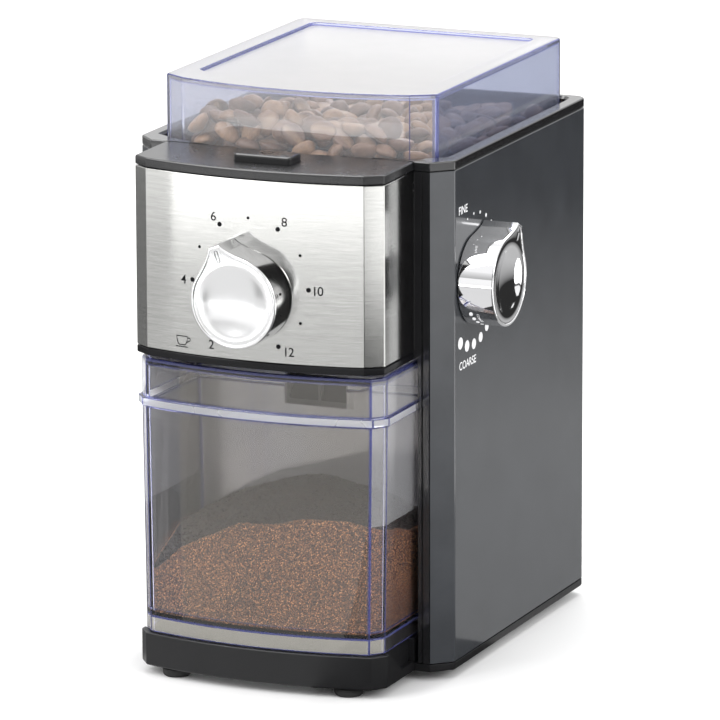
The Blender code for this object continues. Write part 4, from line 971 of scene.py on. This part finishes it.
def knob_outlines(depth_all):
    """The knob's skin from its back to the middle of its dish, as (depth, radius round it)."""
    edge, angles = KNOB_EDGE, knob_angles()
    sides = [(depth_all, 0.3), (depth_all - 0.3, 0.0)]
    sides += [(edge * (1 - math.sin(bend)), edge * (1 - math.cos(bend))) for bend in quarter(5)]
    sides += [(0.0, edge + 0.2), (0.32, edge + 0.5), (0.36, edge + 0.7)]
    outlines = [(depth, [knob_radius(a) - inset for a in angles]) for depth, inset in sides]
    outlines.append((0.30, [min(knob_radius(a) - edge - 1.2, 16.0) for a in angles]))
    sphere = (KNOB_DISH_R ** 2 + KNOB_DISH_DEPTH ** 2) / (2 * KNOB_DISH_DEPTH)
    for radius in (15.6, 14.9, 14.3, 13.7, 13.0, 12.2, 11.0, 9.5, 8.0, 6.2, 4.4, 2.6, 1.0):
        drop = sphere - math.sqrt(sphere ** 2 - min(radius, KNOB_DISH_R + 1.4) ** 2)
        bowl = KNOB_DISH_DEPTH - drop
        depth = 0.5 * (bowl + math.sqrt(bowl ** 2 + 0.10)) + 0.2
        outlines.append((depth, [radius] * len(angles)))
    return outlines


def make_knob(node, turn_deg, centre, face, outward, place, base):
    """Chrome knob: pointer beak, rolled face edge, soft dish, hollow back and shaft bore."""
    turn = math.radians(turn_deg)
    rings = []
    for depth, radii in knob_outlines(abs(face - base)):
        points = [(centre[0] + radius * math.sin(angle + turn), centre[1] + radius * math.cos(angle + turn))
                  for radius, angle in zip(radii, knob_angles())]
        rings.append(place(points, face - outward * depth))
    knob = skin("chrome_" + node, rings)
    low, high = sorted((base - outward * 1.0, base + outward * 8.0))
    hollow = [(14.6, high), (14.6, low), (6.4, low), (6.4, high)]
    cut(knob, turned("knob_hollow", hollow, centre, place, 48))
    low, high = sorted((base - outward * 1.0, face - outward * 6.0))
    cut(knob, rod("knob_bore", 3.3, high, low, centre, place))
    dress(knob, node, "chrome", node, 38.0, weighted=False)
    if place is placed_y:
        knob.data.materials.append(LOOK["chrome_soft"])
        for polygon in knob.data.polygons:
            polygon.material_index = int(polygon.normal.y * outward > 0.6)
    mark_knob(node, turn, centre, face, outward, place)


def mark_knob(node, turn, centre, face, outward, place):
    """The raised oblong ring on the knob's pointer."""
    radius, half_length, end_radius = 19.0, 1.75, 0.62
    ring = [(u, radius + (half_length if v >= 0 else -half_length) + v)
            for u, v in circle((0.0, 0.0), end_radius, 24)]
    ring.append(ring[0])
    turned_ring = [(centre[0] + u * math.cos(turn) + v * math.sin(turn),
                    centre[1] - u * math.sin(turn) + v * math.cos(turn)) for u, v in ring]
    mark = print_mesh("chrome_" + node + "_pointer_mark", [ribbon(turned_ring, 0.3)],
                      lambda u, v: place([(u, v)], face - outward * 0.31)[0],
                      place([(0.0, 0.0)], outward * 0.14)[0])
    dress(mark, node, "chrome", weighted=False)


# ---------------------------------------------------------------- printing

def ribbon(points, width):
    """A flat stroke of a width along a path, as faces of (u, v) points."""
    sides = []
    for index, point in enumerate(points):
        before = Vector(points[max(index - 1, 0)])
        after = Vector(points[min(index + 1, len(points) - 1)])
        if points[0] == points[-1] and index in (0, len(points) - 1):
            before, after = Vector(points[-2]), Vector(points[1])
        along = (after - before).normalized()
        across = Vector((-along.y, along.x)) * width / 2
        sides.append((Vector(point) + across, Vector(point) - across))
    return [(a[0], b[0], b[1], a[1]) for a, b in zip(sides, sides[1:])]


def dot(centre, radius):
    """A filled dot, as one face."""
    return [tuple(Vector(point) for point in circle(centre, radius, 28))]


def words(text, size, centre):
    """The faces of a line of plain lettering, centred on a point."""
    curve = bpy.data.curves.new("lettering", "FONT")
    curve.body = text
    curve.size = size
    curve.offset = 0.005 * size
    curve.space_character = 0.88 if text.isdigit() else 1.0
    curve.align_x, curve.align_y = "CENTER", "CENTER"
    mesh = mesh_from_curve("lettering", curve)
    points = [vertex.co.xy + Vector(centre) for vertex in mesh.vertices]
    faces = [tuple(points[i] for i in face.vertices) for face in mesh.polygons]
    bpy.data.meshes.remove(mesh)
    return faces


def print_mesh(name, groups, place, proud):
    """Flat faces laid on a surface by place(u, v) and given a thickness along proud."""
    bm = bmesh.new()
    for faces in groups:
        for face in faces:
            bm.faces.new([bm.verts.new(row(*place(point.x, point.y))) for point in face])
    bmesh.ops.remove_doubles(bm, verts=bm.verts, dist=0.004 * MM)
    made = bmesh.ops.extrude_face_region(bm, geom=list(bm.faces))
    moved = [item for item in made["geom"] if isinstance(item, bmesh.types.BMVert)]
    bmesh.ops.translate(bm, verts=moved, vec=Vector(proud) * MM)
    return raw_object(name, bm)


def make_front_dial():
    """Dots, numbers and the cup sign of the portion dial, laid on the bowed steel."""
    middle, half_u, half_v = (0.0, 159.3), 24.6, 26.8
    first, last, step_deg, top_number = 2, 12, 30.0, 7
    groups = []
    for number in range(first, last + 1):
        place = polar(middle, half_u, half_v, (number - top_number) * step_deg)
        groups.append(dot(place, 0.95 if number % 2 == 0 else 0.62))
    for number, (turn, radius) in NUMERALS.items():
        groups.append(words(number, 5.1, polar(middle, radius, radius, turn)))
    cup_u, cup_v = -29.6, 134.2
    cup = [(-2.6, 2.0), (-2.2, 0.0), (-1.5, -1.4), (1.5, -1.4), (2.2, 0.0), (2.6, 2.0), (-2.6, 2.0)]
    handle = [(2.4, 1.4), (3.6, 1.5), (3.7, 0.5), (2.1, -0.4)]
    saucer = [(-2.9, -2.2), (2.6, -2.2)]
    for line in (cup, handle, saucer):
        groups.append(ribbon([(cup_u + u, cup_v + v) for u, v in line], 0.42))

    def on_steel(u, v):
        return (u, bow_depth(u, FRONT_Y, FRONT_RADIUS) - INK_LIFT, v)

    dial = print_mesh("portion_dial_print", groups, on_steel, (0.0, -INK_FILM, 0.0))
    dress(dial, "grinder_body", "dark_ink", weighted=False)


def make_side_dial():
    """The growing row of dots round the fineness knob and the two ends' plain words."""
    groups = []
    count, start, end = 16, -14.4, 208.9
    for index in range(count):
        share = index / (count - 1)
        radius = 24.8 + 2.9 * share
        place = polar((26.5, 155.3), radius, radius, start + (end - start) * share)
        groups.append(dot(place, 0.4 + 2.0 * share))
    groups.append(words("FINE", 4.6, (15.8, 183.8)))
    groups.append(words("COARSE", 4.6, (20.5, 121.6)))
    dial = print_mesh("fineness_scale_print", groups, lambda u, v: (HOUSING_HALF + INK_LIFT, u, v),
                      (INK_FILM, 0.0, 0.0))
    dress(dial, "grinder_body", "white_ink", weighted=False)


# ---------------------------------------------------------------- clear pieces

def make_hopper_lid():
    """Deep lid of even thickness with a recessed top made pale as painted reflection, soft outer edges and
    a flat rim.
    """
    low, top, edge, wall = LID_LOW.z, LID_HIGH.z, 0.8, LID_WALL
    ceiling, recess_under = top - wall, top - RECESS_DEPTH - wall
    floor = top - RECESS_DEPTH
    recess = [(0.5, floor), (0.12, floor + 0.12), (0.0, floor + 0.5), (0.0, top - 0.4), (-0.12, top - 0.12),
              (-0.4, top)]
    outside = [(edge * (1 - math.sin(bend)), top - edge * (1 - math.cos(bend))) for bend in quarter(5)]
    rim = [(0.0, low + 0.5), (0.12, low + 0.12), (0.5, low), (wall - 0.5, low), (wall - 0.12, low + 0.12),
           (wall, low + 0.5)]
    inside = [(wall, ceiling - 0.7), (wall + 0.2, ceiling - 0.2), (wall + 0.7, ceiling)]
    under = [(-wall - 0.4, ceiling), (-wall, ceiling - 0.4), (-wall, recess_under + 0.4),
             (-wall + 0.4, recess_under)]
    rings = stacked(recess_plan, recess) + stacked(lid_plan, outside + rim + inside)
    lid = skin("clear_hopper_lid", rings + stacked(recess_plan, under))
    tint_edges(lid, LID_HALF, LID_RADIUS, LID_FACET, lid_pane)
    dress(lid, "hopper_lid", None, "hopper_lid", 45.0)


def taper_at(height):
    """The container narrows a little towards its foot: its width's share at a height."""
    share = (CONTAINER_TOP - height) / (CONTAINER_TOP - CONTAINER_LOW)
    return 1.0 - share * CONTAINER_TAPER / CONTAINER_HALF


def container_window(low, high, back):
    """What the chute mouth's window takes out of the container's rear wall."""
    return block("window", (-13.3, CONTAINER_REAR - 8.0, low), (13.3, CONTAINER_REAR + back, high))


def make_container():
    """Clear ground-coffee box with a hollow skirt under its floor and a window in its rear wall."""
    wall, top, low, floor = CLEAR_WALL, CONTAINER_TOP, CONTAINER_LOW, CONTAINER_FLOOR
    floor_top = floor + 2.0
    inner = [(wall + 1.4, floor_top), (wall + 0.4, floor_top + 0.4), (wall, floor_top + 1.4),
             (wall, top - 0.35), (wall - 0.35, top)]
    outer = [(0.35, top), (0.0, top - 0.35), (0.0, GROUNDS_SIDE), (0.0, floor + 1.0), (0.25, floor + 0.5),
             (0.0, floor)]
    skirt = [(0.0, low + 0.5), (0.12, low + 0.12), (0.5, low), (wall - 0.4, low), (wall, low + 0.4),
             (wall, floor - 0.5), (wall + 0.5, floor)]
    rings = []
    for ring in stacked(partial(container_plan, CONTAINER_HALF), inner + outer + skirt):
        rings.append([(x * taper_at(z), y, z) for x, y, z in ring])
    body = skin("clear_container", rings)
    tint_edges(body, CONTAINER_HALF, FRONT_RADIUS, PLATFORM_FACET, container_pane)
    cut(body, container_window(97.6, top + 5.0, 5.0))
    dress(body, "container", None, "ground_container", 45.0)


def make_container_lid():
    """Clear lid of the container: a ledge that overlaps the box, a tall band and a flat top."""
    wall, ceiling = CLEAR_WALL, CLID_TOP - 2.4
    band = [(1.2, CLID_TOP), (0.35, CLID_TOP - 0.35), (0.0, CLID_TOP - 1.2), (0.0, LEDGE_TOP + 0.6),
            (-0.25, LEDGE_TOP)]
    ledge = [(0.35, LEDGE_TOP), (0.0, LEDGE_TOP - 0.35), (0.0, LEDGE_LOW + 0.35), (0.35, LEDGE_LOW)]
    inside = [(wall - 0.35, LEDGE_LOW), (wall, LEDGE_LOW + 0.35), (wall, ceiling - 0.8),
              (wall + 0.8, ceiling)]
    narrow, wide = partial(container_plan, CONTAINER_HALF), partial(container_plan, LEDGE_HALF)
    rings = stacked(narrow, band) + stacked(wide, ledge) + stacked(narrow, inside)
    lid = skin("clear_container_lid", rings)
    tint_edges(lid, CONTAINER_HALF, FRONT_RADIUS, PLATFORM_FACET, container_lid_pane)
    cut(lid, container_window(100.0, 108.0, 8.0))
    dress(lid, "container", None, "container_lid", 45.0)


# ---------------------------------------------------------------- coffee

def bean_shape():
    """Unit bean as rings of (point, crease): a long half-egg with a grooved flat side."""
    loops, count, segments = [], 11, 18
    for ring in range(1, count):
        tilt = math.pi * ring / count
        x, loop = math.cos(tilt), []
        for segment in range(segments):
            angle = 2 * math.pi * segment / segments
            y, z = math.sin(tilt) * math.cos(angle), math.sin(tilt) * math.sin(angle)
            crease = 0.0
            if z < 0:
                crease = math.exp(-(y / 0.16) ** 2) * min(1.0, (1 - x * x) * 2.2)
                z = z * 0.42 + crease * 0.2
            loop.append((Vector((x, y, z)), crease))
        loops.append(loop)
    return loops


def add_bean(bm, layers, shape, centre, size, spin, tone):
    """One bean in the mesh, turned by a matrix."""
    tones, creases = layers
    half = Vector(size)

    def corner(local, crease):
        vertex = bm.verts.new(row(*(centre + spin @ local)))
        vertex[tones], vertex[creases] = tone, crease
        return vertex

    loops = []
    for ring in shape:
        loop = []
        for point, crease in ring:
            wobble = 1.0 + 0.05 * noise.noise(point * 1.7 + centre * 0.31)
            loop.append(corner(point * half * wobble, crease))
        loops.append(loop)
    for lower, upper in zip(loops, loops[1:]):
        bridge(bm, lower, upper)
    for loop, sign in ((loops[0], 1), (loops[-1], -1)):
        tip = corner(Vector((sign * half.x * 1.01, 0.0, 0.0)), 0.0)
        for vertex, following in zip(loop, loop[1:] + loop[:1]):
            bm.faces.new((vertex, following, tip))


def mound(x, y, centre, reach, height):
    """A rounded mound's height over the floor at a place."""
    return height * math.exp(-((x - centre[0]) / reach[0]) ** 2 - ((y - centre[1]) / reach[1]) ** 2)


def heap_height(x, y):
    """Top of the heap of beans under the lid."""
    left = mound(x, y, (-22.0, 20.0), (34.0, 42.0), 19.0)
    right = mound(x, y, (22.0, 14.0), (26.0, 40.0), 14.0)
    return LID_LOW.z + 6.5 + max(left, right) + 3.0 * noise.noise(Vector((x * 0.05, y * 0.05, 3.0)))


def inside_lid(x, y, margin):
    """True if a bean's centre fits inside the lid's walls."""
    half = LID_HALF - LID_WALL - margin
    front = bow_depth(x, LID_LOW.y, LID_RADIUS) + LID_WALL + margin
    corner = abs(x) + max(0.0, (front + 7.0) - y)
    return abs(x) < half and front < y < LID_HIGH.y - LID_WALL - margin and corner < half + 3.0


def settled_beans(generator):
    """Centres of the visible beans: dropped one by one on those below, up to the heap's surface."""
    spacing, placed, grid = 8.5, [], {}
    floor = span("hopper")[0].z + 44.0
    around = [(i, j) for i in (-1, 0, 1) for j in (-1, 0, 1)]
    for _ in range(5200):
        x = generator.uniform(-LID_HALF, LID_HALF)
        y = generator.uniform(0.0, LID_HIGH.y)
        if not inside_lid(x, y, 4.3):
            continue
        height = floor
        key = (int(x // spacing), int(y // spacing))
        for i, j in around:
            for other in grid.get((key[0] + i, key[1] + j), ()):
                flat = (other.x - x) ** 2 + (other.y - y) ** 2
                if flat < spacing ** 2:
                    height = max(height, other.z + 0.72 * math.sqrt(spacing ** 2 - flat))
        if height > heap_height(x, y) - 2.0:
            continue
        centre = Vector((x, y, height))
        grid.setdefault(key, []).append(centre)
        placed.append(centre)
    return placed


def make_beans():
    """Roasted beans heaped in the hopper and against the lid's walls."""
    generator = random.Random(11)
    bm = bmesh.new()
    layers = (bm.verts.layers.float.new("tone"), bm.verts.layers.float.new("crease"))
    shape = bean_shape()
    for centre in settled_beans(generator):
        near_side = abs(centre.x) > LID_HALF - 14.0
        near_wall = near_side or centre.y < 22.0
        buried = heap_height(centre.x, centre.y) - centre.z
        heading = generator.uniform(0, 2 * math.pi)
        if near_wall:
            heading = generator.gauss(math.pi / 2 if near_side else 0.0, 0.3)
        pitch = generator.gauss(0.0, 0.5)
        roll = generator.choice((0.0, math.pi)) + generator.gauss(0.0, 0.7)
        spin = Matrix.Rotation(heading, 3, "Z") @ Matrix.Rotation(pitch, 3, "Y")
        spin = spin @ Matrix.Rotation(roll, 3, "X")
        size = [part * generator.uniform(0.88, 1.12) for part in (5.5, 4.6, 3.8)]
        tone = generator.random()
        if buried < 11.0 or near_wall:
            add_bean(bm, layers, shape, centre, size, spin, tone)
    beans = raw_object("coffee_beans", bm)
    dress(beans, "grinder_body", "bean", smooth=70.0, weighted=False)


def grounds_height(x, y):
    """Top of the heap of ground coffee in the container."""
    along = [(-52.0, 31.0), (-45.0, 36.5), (-34.0, 48.0), (-23.0, 54.5), (-6.0, 62.0), (20.0, 66.5),
             (37.0, 68.0), (52.0, 65.5)]
    front = along[-1][1]
    for (x0, z0), (x1, z1) in zip(along, along[1:]):
        if x <= x1:
            front = z0 + (z1 - z0) * max(0.0, (x - x0) / (x1 - x0))
            break
    back = (y + 36.0) / 60.0
    crest = 68.0 - 0.006 * (x - 6.0) ** 2
    slope = (crest - front) * min(1.0, max(0.0, back) * 1.6)
    lumps = 1.2 * noise.noise(Vector((x * 0.06, y * 0.06, 0.0)))
    return front + slope + mound(x, y, (6.0, 8.0), (16.0, 14.0), 3.0) + lumps


def grounds_point(u, v, height):
    """Plan position at shares across and back, pulled inside the tapered, bowed walls."""
    wall = CLEAR_WALL + 0.15
    half = CONTAINER_HALF - wall - 0.1
    x = u * half
    front = bow_depth(x, FRONT_Y + FRONT_HALF - CONTAINER_HALF + 1.2, FRONT_RADIUS) + wall
    front += max(0.0, abs(x) - (half - 4.2)) * 1.15
    return x * taper_at(height), front + (CONTAINER_REAR - wall - front) * v


def crumble(point, amount):
    return amount * (noise.noise(point * 1.3) + 0.6 * noise.noise(point * 3.1))


def make_grounds():
    """Heap of ground coffee: a crumbly surface inside the container's walls, scattered grains on it, and a
    mask for painted shade on its top.
    """
    generator = random.Random(5)
    floor, about_top = CONTAINER_FLOOR + 2.05, 60.0
    columns, rows_deep, rows_high = 170, 96, 76
    bm = bmesh.new()
    unshaded = bm.verts.layers.float.new("unshaded")
    top = []
    for j in range(rows_deep + 1):
        line = []
        for i in range(columns + 1):
            u, v = 2 * i / columns - 1, j / rows_deep
            x, y = grounds_point(u, v, about_top)
            inner = min(1.0, (1 - abs(u)) * 20, v * 20, (1 - v) * 20)
            z = grounds_height(x, y) + crumble(Vector((x, y, 0.0)), 0.45) * inner
            line.append(bm.verts.new(row(*grounds_point(u, v, z), z)))
            # Painted-shade mask: 1 along the front and side edges of the top, 0 on the rest, which gets
            # painted shade.
            line[-1][unshaded] = 1.0 if min(v * 6, (1 - abs(u)) * 8) < 0.15 else 0.0
        top.append(line)
    for lower, upper in zip(top, top[1:]):
        for i in range(columns):
            bm.faces.new((lower[i], lower[i + 1], upper[i + 1], upper[i]))
    border = ([(i, 0) for i in range(columns)] + [(columns, j) for j in range(rows_deep)]
              + [(i, rows_deep) for i in range(columns, 0, -1)] + [(0, j) for j in range(rows_deep, 0, -1)])
    above = [top[j][i] for i, j in border]
    heights = [((vertex.co - ZERO) / MM).z for vertex in above]
    for level in range(1, rows_high + 1):
        ring = []
        for (i, j), z_top in zip(border, heights):
            z = z_top + (floor - z_top) * level / rows_high
            x, y = grounds_point(2 * i / columns - 1, j / rows_deep, z)
            lump = abs(crumble(Vector((x, y, z)), 0.22))
            inward_x = -math.copysign(1, x) if i in (0, columns) else 0.0
            inward_y = {0: 1.0, rows_deep: -1.0}.get(j, 0.0)
            ring.append(bm.verts.new(row(x + inward_x * lump, y + inward_y * lump, z)))
            # The sides against the walls get no painted shade.
            ring[-1][unshaded] = 1.0
        bridge(bm, above, ring)
        above = ring
    bm.faces.new(above)
    for _ in range(2600):
        u, v = generator.uniform(-0.97, 0.97), generator.random() ** 1.4 * 0.97 + 0.015
        x, y = grounds_point(u, v, about_top)
        add_grain(bm, generator, Vector((x, y, grounds_height(x, y) + 0.15)), generator.uniform(0.25, 0.6))
    grounds = raw_object("ground_coffee", bm)
    dress(grounds, "container", "grounds", smooth=60.0, weighted=False)


def add_grain(bm, generator, centre, size):
    """One broken crumb of coffee."""
    corners = 5
    angle = generator.uniform(0, 2 * math.pi)
    turn = Matrix.Rotation(angle, 3, (generator.random(), generator.random(), 0.5))

    def vertex(x, y, z):
        return bm.verts.new(row(*(centre + turn @ Vector((x, y, z)))))

    girdle = []
    for step in range(corners):
        angle = 2 * math.pi * step / corners
        reach = size * generator.uniform(0.7, 1.2)
        rise = size * generator.uniform(-0.25, 0.25)
        girdle.append(vertex(math.cos(angle) * reach, math.sin(angle) * reach, rise))
    low_tip, high_tip = vertex(0.0, 0.0, -size * 0.75), vertex(0.0, 0.0, size * 0.75)
    for corner, following in zip(girdle, girdle[1:] + girdle[:1]):
        bm.faces.new((corner, following, high_tip))
        bm.faces.new((following, corner, low_tip))


# ---------------------------------------------------------------- what stays CAD

SLOT_LOOKS = {"rubber": "rubber", "steel": "machined", "brass": "bronze", "nylon": "nylon",
              "circuit_board": "board"}


def paint_kept_nodes():
    """Give each CAD node that still shows the material of its slot."""
    slots = {part["node"]: part["material_slot"] for part in frame["record"]["subparts"]}
    for name, node in frame["nodes"].items():
        if not node.hide_render:
            node.data.materials.clear()
            node.data.materials.append(LOOK[SLOT_LOOKS.get(slots[name], "matt_black")])


# ---------------------------------------------------------------- studio

def softbox(name, size, power, place):
    """A soft rectangular lamp aimed at the grinder, unseen by the camera."""
    data = bpy.data.lights.new(name, "AREA")
    data.shape = "RECTANGLE"
    data.size, data.size_y = size
    data.energy = power
    lamp = linked(name, data)
    lamp.location = place
    middle = Vector((0.0, 0.0, 0.12))
    lamp.rotation_euler = (middle - Vector(place)).to_track_quat("-Z", "Y").to_euler()
    lamp.visible_camera = False


def card(name, rows, near, far):
    """A studio card that only mirrors see: a strip of pairs of points, whose glow runs from near to far."""
    bm = bmesh.new()
    layer = bm.loops.layers.uv.new("fade")
    pairs = [[bm.verts.new(point) for point in pair] for pair in rows]
    for (a, b), (c, d) in zip(pairs, pairs[1:]):
        face = bm.faces.new((a, c, d, b))
        for loop, share in zip(face.loops, (0.0, 0.0, 1.0, 1.0)):
            loop[layer].uv = (share, 0.0)
    thing = mesh_object(name, bm)
    material = bpy.data.materials.new(name)
    material.use_nodes = True
    tree = material.node_tree
    tree.nodes.clear()
    fade = tree.nodes.new("ShaderNodeMapRange")
    fade.inputs["To Min"].default_value, fade.inputs["To Max"].default_value = near, far
    split = tree.nodes.new("ShaderNodeSeparateXYZ")
    glow = tree.nodes.new("ShaderNodeEmission")
    tree.links.new(tree.nodes.new("ShaderNodeUVMap").outputs[0], split.inputs[0])
    tree.links.new(split.outputs["X"], fade.inputs["Value"])
    tree.links.new(fade.outputs[0], glow.inputs["Strength"])
    tree.links.new(glow.outputs[0], tree.nodes.new("ShaderNodeOutputMaterial").inputs["Surface"])
    thing.data.materials.append(material)
    for ray in ("camera", "diffuse", "transmission", "shadow", "volume_scatter"):
        setattr(thing, "visible_" + ray, False)


def ring_point(azimuth, distance, height):
    """A place round the grinder: azimuth 0 is straight ahead of it, 90 on the knob's side."""
    angle = math.radians(azimuth)
    return (distance * math.sin(angle), -distance * math.cos(angle), height)


def ring_card(name, azimuths, distances, heights, glow):
    """A card between two azimuths, from its near or low edge to its far or high one."""
    first, last = azimuths
    count = max(1, round((last - first) / 4.0))
    rows = []
    for step in range(count + 1):
        azimuth = first + (last - first) * step / count
        rows.append([ring_point(azimuth, *edge) for edge in zip(distances, heights)])
    card(name, rows, *glow)


FLOOR_CARDS = {
    # azimuths, distances of the near and far edge in metres, glow at both
    "veil_strip": ((-44.0, 17.0), (0.96, 1.15), (4.3, 4.3)),
    "veil_strip_left": ((-62.0, -44.0), (0.96, 1.15), (1.5, 1.5)),
    "front_near_floor": ((-46.0, 11.0), (0.05, 0.5), (0.84, 0.82)),
    "front_floor": ((-46.0, 11.0), (0.5, 0.8), (0.84, 0.8)),
    "front_floor_far": ((-46.0, 11.0), (0.8, 0.96), (0.8, 0.1)),
    "left_near_floor": ((-76.0, -46.0), (0.05, 0.5), (0.3, 0.4)),
    "left_front_floor": ((-76.0, -46.0), (0.5, 0.96), (0.86, 0.6)),
    "left_floor": ((-118.0, -76.0), (0.05, 1.3), (0.28, 0.22)),
    "photographer_floor": ((11.0, 42.0), (0.05, 0.9), (0.05, 0.02)),
    "strip_near": ((42.0, 49.0), (0.05, 0.72), (0.04, 0.1)),
    "strip_light": ((42.0, 49.0), (0.72, 0.88), (0.1, 2.6)),
    "strip_far": ((42.0, 49.0), (0.88, 1.4), (2.6, 2.6)),
    "chamfer_floor": ((49.0, 95.0), (0.05, 0.85), (0.02, 1.8)),
    "side_floor": ((95.0, 190.0), (0.05, 0.40), (0.48, 0.58)),
    "side_floor_far": ((95.0, 190.0), (0.40, 0.92), (0.58, 0.03)),
    "side_floor_end": ((95.0, 190.0), (0.92, 2.5), (0.03, 0.2)),
}
WALL_CARDS = {
    # azimuths, distance, heights over the floor, glow at the foot and the top
    "front_upper": ((-95.0, 60.0), 1.3, (0.40, 0.80), (0.5, 1.0)),
    "photographer": ((13.0, 42.0), 0.9, (0.0, 0.9), (0.02, 0.02)),
    "right_flag": ((122.0, 168.0), 0.95, (0.0, 0.25), (0.03, 0.03)),
}


def make_studio():
    """White surroundings, a pale floor, soft lamps and the cards that the chrome mirrors."""
    world = bpy.data.worlds.new("studio")
    bpy.context.scene.world = world
    world.use_nodes = True
    sky = world.node_tree.nodes["Background"].inputs
    sky["Color"].default_value = (1.0, 1.0, 1.0, 1.0)
    sky["Strength"].default_value = 1.1

    low, reach = CAD_BOX[0].z, 6.0
    bm = bmesh.new()
    corners = ((-reach, -reach), (reach, -reach), (reach, reach), (-reach, reach))
    bm.faces.new([bm.verts.new((x, y, low - 0.0002)) for x, y in corners])
    floor = raw_object("studio_floor", bm)
    paper = Shader("studio_paper", (0.95, 0.95, 0.95), 0.8)
    paper.bump(paper.noise(300.0), 0.02 * MM)
    floor.data.materials.append(paper.material)

    softbox("key_left", (0.9, 0.9), 11.0, (-0.9, -1.2, 1.3))
    softbox("top_rear", (1.0, 0.7), 10.0, (-0.1, 0.9, 1.3))
    softbox("right_fill", (0.7, 0.7), 7.0, (1.4, -0.5, 0.9))
    on_floor, over_floor = (low + 0.002,) * 2, (low + 0.004,) * 2
    for name, (azimuths, distances, glow) in FLOOR_CARDS.items():
        ring_card(name, azimuths, distances, on_floor, glow)
    ring_card("edge_light", (102.0, 122.0), (0.3, 1.6), over_floor, (3.5, 3.5))
    for name, (azimuths, distance, heights, glow) in WALL_CARDS.items():
        ring_card(name, azimuths, (distance, distance), [low + height for height in heights], glow)
    card("overhead", [((-1.15, y, 1.45), (0.05, y, 1.75)) for y in (-1.0, 0.3)], 7.0, 7.0)


def make_camera():
    """The long lens that sees the grinder from its front right, a little above."""
    yaw, pitch, roll = (math.radians(angle) for angle in (23.341, 13.338, -0.177))
    forward = Vector((-math.sin(yaw) * math.cos(pitch), math.cos(yaw) * math.cos(pitch), -math.sin(pitch)))
    level = Vector((math.cos(yaw), math.sin(yaw), 0.0))
    up = level.cross(forward)
    right = level * math.cos(roll) + up * math.sin(roll)
    above = up * math.cos(roll) - level * math.sin(roll)
    data = bpy.data.cameras.new("camera")
    data.lens, data.sensor_width = 332.8, 36.0
    data.clip_start, data.clip_end = 0.1, 50.0
    camera = linked("camera", data)
    turn = Matrix((right, above, -forward)).transposed().to_4x4()
    camera.matrix_world = Matrix.Translation(row(1033.7, -2326.2, 724.6)) @ turn
    bpy.context.scene.camera = camera


# ---------------------------------------------------------------- assembly

make_camera()
make_base()
make_feet()
make_housing()
make_front_frame()
make_top_rim()
make_cord_gland()
make_head()
make_steel_panel()
make_head_cover()
make_button()
make_button_spring()
make_knob("portion_knob", PORTION_ANGLE, (0.0, PORTION_Z), PORTION_FACE, -1.0, placed_y, FRONT_Y - GAP)
make_knob("fineness_knob", FINENESS_ANGLE, (FINENESS_Y, FINENESS_Z), FINENESS_FACE, 1.0, placed_x,
          HOUSING_HALF + GAP)
make_front_dial()
make_side_dial()
make_hopper_lid()
make_container()
make_container_lid()
make_beans()
make_grounds()
paint_kept_nodes()
make_studio()

bpy.context.scene.view_settings.view_transform = "Standard"
bpy.context.scene.cycles.max_bounces = 24
bpy.context.scene.cycles.transmission_bounces = 24
